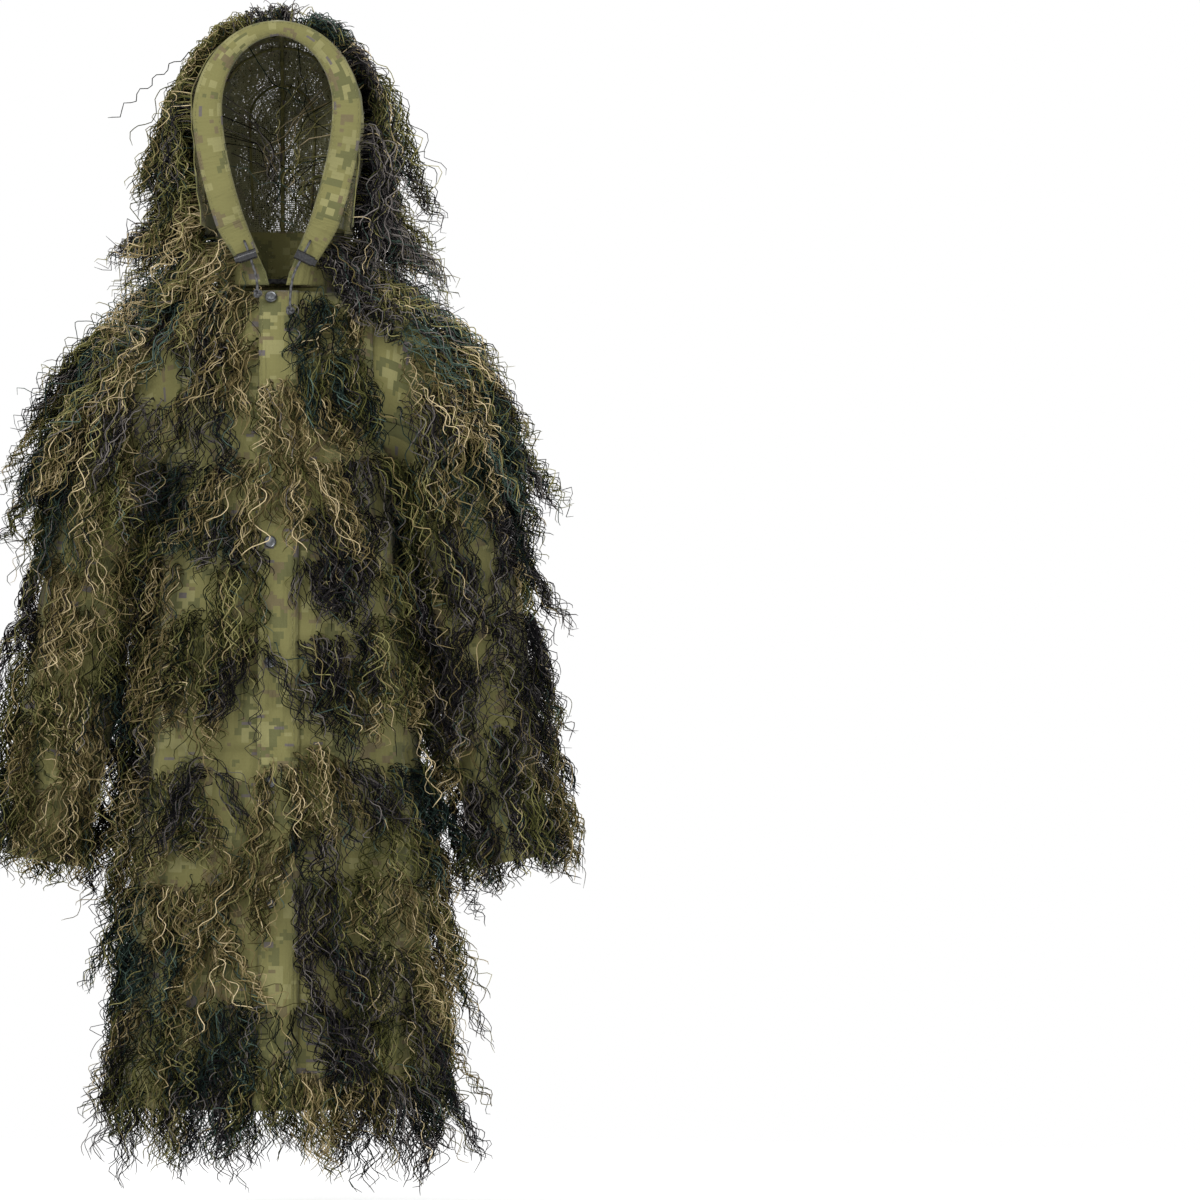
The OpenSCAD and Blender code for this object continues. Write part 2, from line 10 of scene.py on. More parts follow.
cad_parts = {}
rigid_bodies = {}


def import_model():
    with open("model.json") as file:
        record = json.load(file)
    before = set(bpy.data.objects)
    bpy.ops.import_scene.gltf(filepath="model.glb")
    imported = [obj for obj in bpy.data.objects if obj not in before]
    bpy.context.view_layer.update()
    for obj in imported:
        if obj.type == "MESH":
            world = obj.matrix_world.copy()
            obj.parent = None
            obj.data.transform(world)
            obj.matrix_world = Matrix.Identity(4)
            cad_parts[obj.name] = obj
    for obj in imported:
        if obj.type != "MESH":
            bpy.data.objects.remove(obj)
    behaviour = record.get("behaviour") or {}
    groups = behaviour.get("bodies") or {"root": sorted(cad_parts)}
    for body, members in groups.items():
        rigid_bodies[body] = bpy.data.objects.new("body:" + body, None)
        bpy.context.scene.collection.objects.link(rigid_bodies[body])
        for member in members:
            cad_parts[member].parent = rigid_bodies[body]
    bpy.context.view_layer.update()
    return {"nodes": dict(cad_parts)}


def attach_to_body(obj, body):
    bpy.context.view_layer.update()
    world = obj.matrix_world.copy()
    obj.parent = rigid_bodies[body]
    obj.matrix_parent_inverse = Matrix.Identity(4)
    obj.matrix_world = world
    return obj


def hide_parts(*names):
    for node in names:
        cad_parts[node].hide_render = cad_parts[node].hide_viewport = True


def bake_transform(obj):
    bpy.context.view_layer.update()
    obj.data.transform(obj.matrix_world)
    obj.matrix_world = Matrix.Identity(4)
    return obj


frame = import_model()
rng = np.random.default_rng(20)

# ---------------------------------------------------------------- sizes shared with the CAD source
COAT_L = 1.010
WAIST_Z = -0.540
ARM_Z = -0.180
SQUARE = 2.4
SLEEVE_L = 0.600
SLEEVE_R = 0.066
CUFF_R = 0.049
SLEEVE_TILT = math.radians(9.8)
SHOULDER = np.array([0.190, 0.0, -0.115])
HOOD_TOP = 0.327
HOOD_HALF_W = 0.104
HOOD_MID = 0.215
HOOD_FRONT = -0.112
HOOD_BASE = 0.078
HOOD_BACK = 0.148
HOOD_STRAIGHT = 0.35
NECK_HALF_W = 0.076
RIM_W = 0.036
CORD_D = 0.0032

TORSO_W = ([-1.210, -1.010, -0.700, -0.540, -0.400, -0.300, -0.250, -0.180],
           [0.201, 0.198, 0.180, 0.168, 0.160, 0.148, 0.141, 0.150])
TORSO_FRONT = ([-1.210, -1.010, -0.540, -0.300, -0.180], [0.151, 0.148, 0.122, 0.128, 0.118])
TORSO_BACK = ([-1.210, -1.010, -0.540, -0.300, -0.180], [0.143, 0.140, 0.114, 0.120, 0.114])

TAIL_LEFT = [
    (41, -103.5, 58), (40.5, -110, 57.5), (39, -116, 54), (36.5, -119, 49), (33.5, -120, 43),
    (31, -120, 38), (28.5, -120, 33), (26, -120, 28), (23.5, -120, 23), (21, -120, 18),
    (19, -120, 11), (17.5, -120, 3), (16.5, -121, -6), (16, -122, -15), (16, -122, -24)]
TAIL_RIGHT = [
    (-41, -103.5, 58), (-40.5, -110, 57.5), (-39, -116, 54), (-37, -119, 49), (-35, -120, 43),
    (-33, -120, 37), (-31, -120, 31), (-29, -120, 25), (-27, -120, 19), (-25.5, -120, 12),
    (-24.5, -121, 5), (-24, -121, -3)]

# Bend data for pieces between two bodies, which attach() only tests for: (first body, second body, where the first
# ends, where the second starts)
FRONT_DIR = np.array([-0.6, -0.8, -0.054])
FRONT_DIR = FRONT_DIR / np.linalg.norm(FRONT_DIR)


def front_bend(side):
    """Bend ends for a front, pointing away from the shoulders and the side seams."""
    d = FRONT_DIR * (side, 1, 1)
    return (tuple(d * -0.020), tuple(d * 0.040))


def sleeve_bend(side):
    """Bend ends for the sleeve heads, along the arm from the shoulder seam outwards and downwards."""
    d = np.array([0.65 * side, 0, -0.76])
    return (tuple(d * 0.17), tuple(d * 0.31))


HOOD_BEND = ((0, 0, 0.070), (0, 0, 0.150))
BEND_HOOD = ("torso", "hood", *HOOD_BEND)


# ---------------------------------------------------------------- small helpers
def lerp(a, b, t):
    return a + (b - a) * t


def spow(v, p):
    return np.sign(v) * np.abs(v) ** p


def smooth(t):
    t = np.clip(t, 0, 1)
    return t * t * (3 - 2 * t)


def value_noise(seed):
    """Smooth noise in two or three dimensions, from -1 to 1, from a seeded table."""
    table = np.random.default_rng(seed).uniform(-1, 1, 4096)

    def corner(*cells):
        h = sum(c * p for c, p in zip(cells, (1, 57, 2311), strict=False))
        return table[np.mod(h, 4096)]

    def f(*coords):
        cells = [np.floor(c).astype(np.int64) for c in coords]
        fracs = [smooth(c - i) for c, i in zip(coords, cells, strict=True)]
        total = 0
        for k in range(2 ** len(coords)):
            bits = [(k >> b) & 1 for b in range(len(coords))]
            w = 1
            for bit, fr in zip(bits, fracs, strict=True):
                w = w * (fr if bit else 1 - fr)
            total = total + w * corner(*[c + b for c, b in zip(cells, bits, strict=True)])
        return total
    return f


fold_a, fold_b, fold_c = value_noise(3), value_noise(4), value_noise(5)


# ---------------------------------------------------------------- the garment's surfaces
def coat_folds(ang, z):
    """Height of the cloth's folds: soft drape everywhere, tight gathers at the waist."""
    a = np.radians(ang) * 0.16
    drape = 0.0040 * fold_a(a * 26 + 40, z * 5 + 40) + 0.0028 * fold_b(a * 60 + 40, z * 12 + 40)
    near = np.exp(-((z - WAIST_Z) / 0.055) ** 2)
    band = smooth((0.030 - np.abs(z - WAIST_Z)) / 0.010)
    pucker = np.sin(a * 420 + 5 * fold_c(a * 30 + 9, z * 20 + 9))
    gather = near * (0.0028 * pucker - 0.003) * (1 - band) + band * (0.0035 + 0.0008 * pucker)
    return drape * smooth((-0.02 - z) / 0.08) * (1 - band) + gather


def coat(ang, z, off=0.0):
    """Point on the coat below the arms. Angle 0 is the centre front, 90 the wearer's left."""
    r = np.radians(ang)
    off = off + coat_folds(ang, z)
    depth = np.where(np.cos(r) > 0, np.interp(z, *TORSO_FRONT), np.interp(z, *TORSO_BACK))
    x = (np.interp(z, *TORSO_W) + off) * spow(np.sin(r), 2 / SQUARE)
    y = -(depth + off) * spow(np.cos(r), 2 / SQUARE)
    return np.stack(np.broadcast_arrays(x, y, z), axis=-1)


def coat_ang(x, z):
    w = np.minimum(1, np.abs(x) / np.interp(z, *TORSO_W))
    return np.degrees(np.arcsin(np.sign(x) * w ** (SQUARE / 2)))


def ridge(x):
    return 0.032 - np.abs(x) * 0.43


def shoulder(x, q, face, off=0.0):
    """Point on the chest and shoulders: q 0 is the shoulder seam, 90 the arm level; face -1 is the front."""
    r = np.radians(q)
    z = ARM_Z + (ridge(x) - ARM_Z) * np.cos(r) ** (2 / 3)
    off = off + coat_folds(coat_ang(x, np.minimum(z, ARM_Z)) * 1.0, z)
    depth = 0.118 if face < 0 else 0.114
    y = face * (depth + off) * (1 - (np.abs(x) / 0.150) ** SQUARE) ** (1 / SQUARE) * np.sin(r) ** (2 / 3)
    return np.stack(np.broadcast_arrays(x, y, z + off * np.cos(r)), axis=-1)


def neck_q(x):
    r = ridge(x)
    return np.where(r > -0.0035, np.degrees(np.arccos(np.clip(((-0.004 - ARM_Z) / (r - ARM_Z)) ** 1.5, 0, 1))), 0.0)


def front_at(x, z, off=0.0):
    """Point on the front for any level, above or below the arms."""
    x, z = np.broadcast_arrays(np.asarray(x, float), np.asarray(z, float))
    low = coat(coat_ang(x, z), z, off)
    q = np.degrees(np.arccos(np.clip((z - ARM_Z) / (ridge(x) - ARM_Z), 0, 1) ** 1.5))
    high = shoulder(x, q, -1, off)
    high[..., 2] = z
    return np.where((z < ARM_Z)[..., None], low, high)


def collar(ang, z, off=0.0):
    r = np.radians(ang)
    t = z / 0.060
    x = (lerp(NECK_HALF_W, 0.079, t) + off) * spow(np.sin(r), 0.9)
    y = np.where(np.cos(r) > 0, -(lerp(0.094, 0.104, t) + off) * spow(np.cos(r), 0.9),
                 (lerp(0.080, 0.086, t) + off) * spow(-np.cos(r), 0.9))
    return np.stack(np.broadcast_arrays(x, y, z), axis=-1)


def hood(u, t, off=0.0):
    """Point on the hood: u runs over the head from -1 to 1, t from the face to the back."""
    q = np.radians(np.maximum(0, (t - HOOD_STRAIGHT) / (1 - HOOD_STRAIGHT)) * 90)
    k = np.cos(q) ** 0.83
    off = off + 0.0035 * fold_a(u * 5 + 70, t * 6 + 70) * k + 0.0018 * fold_b(u * 14 + 70, t * 15 + 70) * k
    y = lerp(HOOD_FRONT, -0.020, np.minimum(1, t / HOOD_STRAIGHT)) + (HOOD_BACK + off) * np.sin(q) ** 0.83
    low = HOOD_BASE - (y - HOOD_FRONT) * 0.1
    turn = np.radians(np.minimum(0.5, np.abs(u)) * 180)
    z = lerp(HOOD_MID, low, np.maximum(0, np.abs(u) - 0.5) * 2)
    top = (HOOD_TOP - HOOD_MID + off) * np.cos(turn) * k
    width = np.interp(z, [0, HOOD_BASE, 0.150, HOOD_MID],
                      [NECK_HALF_W, HOOD_HALF_W - 0.014, HOOD_HALF_W - 0.004, HOOD_HALF_W])
    half = (width + off) * np.sin(turn) * k
    return np.stack(np.broadcast_arrays(np.sign(u) * half, y, z + top), axis=-1)


def sleeve(ang, t, off=0.0):
    """Point on the wearer's left sleeve: ang 0 is the outside, t the distance below the shoulder centre."""
    r = np.radians(ang)
    off = off + 0.004 * fold_a(np.cos(r) * 2 + 30, t * 13 + np.sin(r) * 2) \
        + 0.0022 * fold_b(np.cos(r) * 3 + 30, t * 34 + np.sin(r) * 4)
    off = off - 0.004 * np.exp(-((t - SLEEVE_L + 0.018) / 0.010) ** 2)
    rad = lerp(SLEEVE_R, CUFF_R, t / SLEEVE_L) + off
    out = rad * np.cos(r)
    p = [t * math.sin(SLEEVE_TILT) + out * math.cos(SLEEVE_TILT), rad * np.sin(r),
         -t * math.cos(SLEEVE_TILT) + out * math.sin(SLEEVE_TILT)]
    return SHOULDER + np.stack(np.broadcast_arrays(*p), axis=-1)


CAP_START = 0.120


def armhole(ang):
    """The seam where the sleeve joins the coat, seen from the side as an arch over an ellipse."""
    r = np.radians(ang)
    up = np.cos(r) > 0
    y = 0.083 * spow(np.sin(r), 2 / 3) * up + 0.083 * np.sin(r) * ~up
    z = np.where(up, -0.150 + 0.131 * spow(np.cos(r), 2 / 3), -0.150 + 0.075 * np.cos(r))
    x = 0.117 + 0.020 * smooth(-np.cos(r))
    return np.stack([x, y, z], axis=-1)


def cap(ang, k, off=0.0):
    """Sleeve head: k 0 is the armhole seam, 1 the top of the straight sleeve."""
    r = np.radians(ang)
    p0, p2 = armhole(ang), sleeve(ang, np.full_like(ang, CAP_START))
    rise = np.maximum(0.010, 0.090 + 0.100 * np.cos(r))
    p1 = p2 + np.stack([-0.13 * rise, 0 * rise, rise], axis=-1)
    k = k[..., None]
    p = (1 - k) ** 2 * p0 + 2 * k * (1 - k) * p1 + k ** 2 * p2
    out = p - np.array([0.150, 0, -0.140])
    out = out / np.linalg.norm(out, axis=-1, keepdims=True)
    wave = 0.004 * fold_a(r * 1.6 + 30, k[..., 0] * 3 + 3) * np.sin(np.pi * k[..., 0])
    return p + out * (off + wave)[..., None]


# ---------------------------------------------------------------- materials
def new_material(name):
    m = bpy.data.materials.new(name)
    m.use_nodes = True
    nt = m.node_tree
    return m, nt, nt.nodes["Principled BSDF"]


def node(nt, kind, **values):
    n = nt.nodes.new(kind)
    for key, v in values.items():
        if key in n.inputs:
            n.inputs[key].default_value = v
        else:
            setattr(n, key, v)
    return n


def link(nt, a, b):
    nt.links.new(a, b)


def ramp(nt, source, stops, mode="LINEAR"):
    r = nt.nodes.new("ShaderNodeValToRGB")
    r.color_ramp.interpolation = mode
    while len(r.color_ramp.elements) > 1:
        r.color_ramp.elements.remove(r.color_ramp.elements[-1])
    r.color_ramp.elements[0].position = stops[0][0]
    r.color_ramp.elements[0].color = (*stops[0][1], 1)
    for pos, colour in stops[1:]:
        r.color_ramp.elements.new(pos).color = (*colour, 1)
    link(nt, source, r.inputs["Fac"])
    return r.outputs["Color"]


def mix_colour(nt, fac, a, b, mode="MIX"):
    m = nt.nodes.new("ShaderNodeMix")
    m.data_type, m.blend_type = "RGBA", mode
    for socket, v in ((m.inputs[0], fac), (m.inputs[6], a), (m.inputs[7], b)):
        if hasattr(v, "links") or isinstance(v, bpy.types.NodeSocket):
            link(nt, v, socket)
        else:
            socket.default_value = v if isinstance(v, float) else (*v, 1)
    return m.outputs[2]


def bump(nt, shader, height, strength, distance):
    b = node(nt, "ShaderNodeBump", Strength=strength, Distance=distance)
    link(nt, height, b.inputs["Height"])
    link(nt, b.outputs["Normal"], shader.inputs["Normal"])
    return b


OLIVE = (0.160, 0.150, 0.053)
OLIVE_DARK = (0.098, 0.099, 0.037)
OLIVE_BROWN = (0.128, 0.102, 0.052)
KHAKI = (0.215, 0.203, 0.084)
MAUVE = (0.104, 0.090, 0.090)


def camo_nodes(nt, on_grain):
    """Woven camouflage made of small square blocks, which follow the cloth's grain, or the axes where it has none."""
    if on_grain:
        uv = node(nt, "ShaderNodeUVMap", uv_map="grain").outputs["UV"]
    else:
        turned = node(nt, "ShaderNodeMapping")
        turned.inputs["Rotation"].default_value = (math.pi / 2, 0, 0)
        link(nt, node(nt, "ShaderNodeTexCoord").outputs["Object"], turned.inputs["Vector"])
        uv = turned.outputs["Vector"]

    def blocks(step, scale, seed, detail=1.0):
        snap = node(nt, "ShaderNodeVectorMath", operation="SNAP")
        link(nt, uv, snap.inputs[0])
        snap.inputs[1].default_value = (step[0], step[1], 1)
        shift = node(nt, "ShaderNodeVectorMath", operation="ADD")
        link(nt, snap.outputs["Vector"], shift.inputs[0])
        shift.inputs[1].default_value = (seed, seed * 0.7, seed)
        noise = node(nt, "ShaderNodeTexNoise", Scale=scale, Detail=detail, Roughness=0.65)
        link(nt, shift.outputs["Vector"], noise.inputs["Vector"])
        return noise.outputs["Fac"]

    dark = ramp(nt, blocks((0.0045, 0.0045), 22, 3.1, 2), [(0, (0, 0, 0)), (0.55, (1, 1, 1))], "CONSTANT")
    brown = ramp(nt, blocks((0.0045, 0.0045), 30, 8.7, 2), [(0, (0, 0, 0)), (0.60, (1, 1, 1))], "CONSTANT")
    pale = ramp(nt, blocks((0.0090, 0.0045), 38, 15.3, 2), [(0, (0, 0, 0)), (0.60, (1, 1, 1))], "CONSTANT")
    dash = ramp(nt, blocks((0.0120, 0.0035), 75, 23.9, 1), [(0, (0, 0, 0)), (0.69, (1, 1, 1))], "CONSTANT")
    c = mix_colour(nt, dark, OLIVE, OLIVE_DARK)
    c = mix_colour(nt, brown, c, OLIVE_BROWN)
    c = mix_colour(nt, pale, c, KHAKI)
    c = mix_colour(nt, dash, c, MAUVE)
    soil = node(nt, "ShaderNodeTexNoise", Scale=9.0, Detail=4.0)
    link(nt, uv, soil.inputs["Vector"])
    return uv, mix_colour(nt, ramp(nt, soil.outputs["Fac"], [(0.35, (0, 0, 0)), (0.75, (0.35, 0.35, 0.35))]),
                          c, (0.10, 0.095, 0.035))


def crease_height(nt, uv):
    """Soft creases that run up and down the cloth."""
    stretch = node(nt, "ShaderNodeMapping")
    stretch.inputs["Scale"].default_value = (1.0, 0.28, 1.0)
    link(nt, uv, stretch.inputs["Vector"])
    creases = node(nt, "ShaderNodeTexNoise", Scale=42.0, Detail=3.0, Roughness=0.55, Distortion=0.8)
    link(nt, stretch.outputs["Vector"], creases.inputs["Vector"])
    return creases.outputs["Fac"]


def weave_height(nt, uv, pitch):
    """Ripstop weave: fine crossing threads with a thicker thread every few millimetres."""
    waves = []
    for direction in ("X", "Y"):
        w = node(nt, "ShaderNodeTexWave", wave_type="BANDS", bands_direction=direction, Scale=1 / pitch / 20,
                 Distortion=0.6, Detail=1.0)
        link(nt, uv, w.inputs["Vector"])
        waves.append(w.outputs["Fac"])
    m = node(nt, "ShaderNodeMath", operation="MAXIMUM")
    link(nt, waves[0], m.inputs[0])
    link(nt, waves[1], m.inputs[1])
    return m.outputs["Value"]


def camo_cloth(name, on_grain=True):
    m, nt, s = new_material(name)
    uv, colour = camo_nodes(nt, on_grain)
    link(nt, colour, s.inputs["Base Color"])
    s.inputs["Roughness"].default_value = 0.82
    s.inputs["Sheen Weight"].default_value = 0.12
    s.inputs["Sheen Roughness"].default_value = 0.5
    s.inputs["Specular IOR Level"].default_value = 0.25
    fine = bump(nt, s, weave_height(nt, uv, 0.0007), 0.35, 0.0006)
    folds = node(nt, "ShaderNodeBump", Strength=0.55, Distance=0.012)
    link(nt, crease_height(nt, uv), folds.inputs["Height"])
    link(nt, folds.outputs["Normal"], fine.inputs["Normal"])
    return m


def mesh_cloth():
    """Open knitted mesh in the camouflage colours: threads round small holes that show what is behind."""
    m, nt, s = new_material("mesh_cloth")
    uv, colour = camo_nodes(nt, True)
    link(nt, mix_colour(nt, 0.45, colour, (0.26, 0.26, 0.17)), s.inputs["Base Color"])
    s.inputs["Roughness"].default_value = 0.9
    cells = node(nt, "ShaderNodeTexVoronoi", feature="DISTANCE_TO_EDGE", Scale=420.0, Randomness=0.35)
    link(nt, uv, cells.inputs["Vector"])
    hole = ramp(nt, cells.outputs["Distance"], [(0.0, (1, 1, 1)), (0.24, (0, 0, 0))], "CONSTANT")
    link(nt, hole, s.inputs["Alpha"])
    bump(nt, s, cells.outputs["Distance"], 0.4, 0.0006)
    return m


YARN_COLOURS = {
    "straw": ((0.225, 0.175, 0.078), (0.030, 0.024, 0.008), (0.640, 0.520, 0.310)),
    "olive": ((0.082, 0.083, 0.024), (0.008, 0.010, 0.003), (0.300, 0.275, 0.115)),
    "teal": ((0.013, 0.025, 0.021), (0.0015, 0.003, 0.003), (0.085, 0.130, 0.105)),
    "coal": ((0.019, 0.017, 0.019), (0.002, 0.002, 0.0025), (0.180, 0.162, 0.150)),
}
YARN_KINDS = list(YARN_COLOURS)


def yarn_material(kind):
    """Twisted, slightly fuzzy yarn: each strand's colour comes from its 'shade' attribute, a random tone plus painted
    shade that darkens strands lying low against the cloth and lightens lifted ones, and drifts along its length.
    """
    base, dark, light = YARN_COLOURS[kind]
    m, nt, s = new_material("yarn_" + kind)
    geo = node(nt, "ShaderNodeTexCoord")
    own = node(nt, "ShaderNodeAttribute", attribute_name="shade")
    drift = node(nt, "ShaderNodeTexNoise", Scale=40.0, Detail=2.0, Roughness=0.6)
    link(nt, geo.outputs["Object"], drift.inputs["Vector"])
    level = node(nt, "ShaderNodeMath", operation="MULTIPLY_ADD")
    link(nt, drift.outputs["Fac"], level.inputs[0])
    level.inputs[1].default_value = 0.7
    both = node(nt, "ShaderNodeMath", operation="ADD")
    link(nt, level.outputs["Value"], both.inputs[0])
    link(nt, own.outputs["Fac"], both.inputs[1])
    level.inputs[2].default_value = -0.35
    colour = ramp(nt, both.outputs["Value"], [(0.15, dark), (0.50, base), (0.88, light)])
    link(nt, colour, s.inputs["Base Color"])
    twist = node(nt, "ShaderNodeTexNoise", Scale=900.0, Detail=1.0)
    link(nt, geo.outputs["Object"], twist.inputs["Vector"])
    bump(nt, s, twist.outputs["Fac"], 0.5, 0.0004)
    s.inputs["Roughness"].default_value = 0.85
    s.inputs["Specular IOR Level"].default_value = 0.06
    return m


def gunmetal():
    m, nt, s = new_material("gunmetal")
    geo = node(nt, "ShaderNodeTexCoord")
    wear = node(nt, "ShaderNodeTexNoise", Scale=260.0, Detail=4.0)
    link(nt, geo.outputs["Object"], wear.inputs["Vector"])
    colour = ramp(nt, wear.outputs["Fac"], [(0.40, (0.10, 0.105, 0.11)), (0.70, (0.21, 0.215, 0.22))])
    rough = ramp(nt, wear.outputs["Fac"], [(0.35, (0.30, 0.30, 0.30)), (0.70, (0.48, 0.48, 0.48))])
    link(nt, colour, s.inputs["Base Color"])
    link(nt, rough, s.inputs["Roughness"])
    s.inputs["Metallic"].default_value = 1.0
    return m


def black_plastic():
    m, nt, s = new_material("black_plastic")
    geo = node(nt, "ShaderNodeTexCoord")
    scuff = node(nt, "ShaderNodeTexNoise", Scale=400.0, Detail=3.0)
    link(nt, geo.outputs["Object"], scuff.inputs["Vector"])
    colour = ramp(nt, scuff.outputs["Fac"], [(0.45, (0.010, 0.010, 0.012)), (0.80, (0.030, 0.030, 0.032))])
    rough = ramp(nt, scuff.outputs["Fac"], [(0.40, (0.16, 0.16, 0.16)), (0.80, (0.34, 0.34, 0.34))])
    link(nt, colour, s.inputs["Base Color"])
    link(nt, rough, s.inputs["Roughness"])
    return m


def braid_material(name, colour, light):
    """Round braided cord: crossing diagonal strands, with painted shade darkening the grooves between them and lighter
    crests.
    """
    m, nt, s = new_material(name)
    geo = node(nt, "ShaderNodeTexCoord")
    heights = []
    for tilt in (0.8, -0.8):
        turn = node(nt, "ShaderNodeMapping")
        turn.inputs["Rotation"].default_value = (0, tilt, 0)
        link(nt, geo.outputs["Object"], turn.inputs["Vector"])
        w = node(nt, "ShaderNodeTexWave", wave_type="BANDS", bands_direction="X", Scale=45.0)
        link(nt, turn.outputs["Vector"], w.inputs["Vector"])
        heights.append(w.outputs["Fac"])
    top = node(nt, "ShaderNodeMath", operation="MAXIMUM")
    link(nt, heights[0], top.inputs[0])
    link(nt, heights[1], top.inputs[1])
    # Painted shade: the colour follows the strands' height, darker down in the grooves and lighter on the crests.
    link(nt, ramp(nt, top.outputs["Value"], [(0.3, colour), (1.0, light)]), s.inputs["Base Color"])
    bump(nt, s, top.outputs["Value"], 0.6, 0.0004)
    s.inputs["Roughness"].default_value = 0.7
    return m


def floor_material():
    """Pale floor that fades out with distance from the object."""
    m, nt, s = new_material("studio_floor")
    s.inputs["Base Color"].default_value = (0.86, 0.86, 0.86, 1)
    s.inputs["Roughness"].default_value = 0.9
    geo = node(nt, "ShaderNodeTexCoord")
    length = node(nt, "ShaderNodeVectorMath", operation="LENGTH")
    link(nt, geo.outputs["Object"], length.inputs[0])
    link(nt, ramp(nt, length.outputs["Value"], [(0.35, (1, 1, 1)), (0.95, (0, 0, 0))]), s.inputs["Alpha"])
    return m


MAT = {
    "camo": camo_cloth("camo_cloth"), "trim": camo_cloth("camo_trim", False), "mesh": mesh_cloth(),
    "metal": gunmetal(), "black": black_plastic(),
    "cord": braid_material("dark_cord", (0.020, 0.020, 0.022), (0.075, 0.075, 0.078)),
    "thread": braid_material("sewing_thread", (0.10, 0.095, 0.035), (0.20, 0.19, 0.08)),
    "elastic": braid_material("elastic_braid", (0.17, 0.155, 0.08), (0.30, 0.28, 0.16)),
    **{k: yarn_material(k) for k in YARN_KINDS}}


# ---------------------------------------------------------------- camera, lights and floor
VIEW_SPAN = 1.488
CAMERA_DISTANCE = 14.0
CAMERA_AT = (0.397, -0.384)

cam_data = bpy.data.cameras.new("camera")
cam_data.sensor_width = 36
cam_data.lens = 36 * CAMERA_DISTANCE / VIEW_SPAN
cam_data.clip_end = 100
camera = bpy.data.objects.new("camera", cam_data)
camera.location = (CAMERA_AT[0], -CAMERA_DISTANCE, CAMERA_AT[1])
camera.rotation_euler = (math.pi / 2, 0, 0)
bpy.context.scene.collection.objects.link(camera)
bpy.context.scene.camera = camera
bpy.context.scene.view_settings.view_transform = "Standard"


def area_light(name, at, size, power):
    data = bpy.data.lights.new(name, "AREA")
    data.shape, data.size, data.energy = "SQUARE", size, power
    ob = bpy.data.objects.new(name, data)
    ob.location = at
    aim = np.array([0.0, 0.0, -0.4]) - np.array(at)
    ob.rotation_euler = Vector(aim).to_track_quat("-Z", "Y").to_euler()
    bpy.context.scene.collection.objects.link(ob)
    return ob


area_light("key_light", (-1.6, -3.2, 1.6), 1.6, 90)
area_light("fill_light", (2.4, -2.6, 0.4), 2.2, 25)
area_light("back_light", (0.6, 3.4, 1.8), 2.0, 60)
world = bpy.data.worlds.new("studio")
world.use_nodes = True
world.node_tree.nodes["Background"].inputs["Color"].default_value = (1, 1, 1, 1)
world.node_tree.nodes["Background"].inputs["Strength"].default_value = 1.0
bpy.context.scene.world = world


# ---------------------------------------------------------------- mesh builders
def mesh_object(name, verts, faces, materials, uvs=None, face_slots=None, shade=True):
    """One mesh object from arrays. faces is an (n, 3 or 4) array or a list of such arrays."""
    groups = faces if isinstance(faces, list) else [faces]
    me = bpy.data.meshes.new(name)
    loops = np.concatenate([g.ravel() for g in groups]).astype(np.int32)
    sizes = np.concatenate([np.full(len(g), g.shape[1], np.int32) for g in groups])
    starts = np.concatenate([[0], np.cumsum(sizes)[:-1]]).astype(np.int32)
    me.vertices.add(len(verts))
    me.vertices.foreach_set("co", np.ascontiguousarray(verts, np.float32).ravel())
    me.loops.add(len(loops))
    me.loops.foreach_set("vertex_index", loops)
    me.polygons.add(len(sizes))
    me.polygons.foreach_set("loop_start", starts)
    me.polygons.foreach_set("use_smooth", np.full(len(sizes), shade))
    for m in materials:
        me.materials.append(m)
    if face_slots is not None:
        me.polygons.foreach_set("material_index", np.ascontiguousarray(face_slots, np.int32))
    if uvs is not None:
        layer = me.uv_layers.new(name="grain")
        layer.data.foreach_set("uv", np.ascontiguousarray(uvs[loops], np.float32).ravel())
    me.update(calc_edges=True)
    me.validate()
    ob = bpy.data.objects.new(name, me)
    bpy.context.scene.collection.objects.link(ob)
    return ob


def grid_faces(nu, nv, wrap=False):
    """Quads of a grid with nu+1 by nv+1 points, or nu by nv+1 where it wraps."""
    w = nu if wrap else nu + 1
    i, j = np.meshgrid(np.arange(nu), np.arange(nv))
    a, b = j * w + i, j * w + (i + 1) % w
    return np.stack([a, b, b + w, a + w], axis=-1).reshape(-1, 4)


def grid_uv(points):
    """Lengths along the cloth in metres, so that the pattern keeps its size."""
    du = np.linalg.norm(np.diff(points, axis=1), axis=2).mean(axis=0)
    dv = np.linalg.norm(np.diff(points, axis=0), axis=2).mean(axis=1)
    u = np.concatenate([[0], np.cumsum(du)])
    v = np.concatenate([[0], np.cumsum(dv)])
    return np.stack(np.meshgrid(u, v), axis=-1).reshape(-1, 2)


def bake_modifiers(ob):
    """Applies the modifiers, so that the mesh is final."""
    dg = bpy.context.evaluated_depsgraph_get()
    final = bpy.data.meshes.new_from_object(ob.evaluated_get(dg))
    ob.modifiers.clear()
    ob.data = final
    return ob


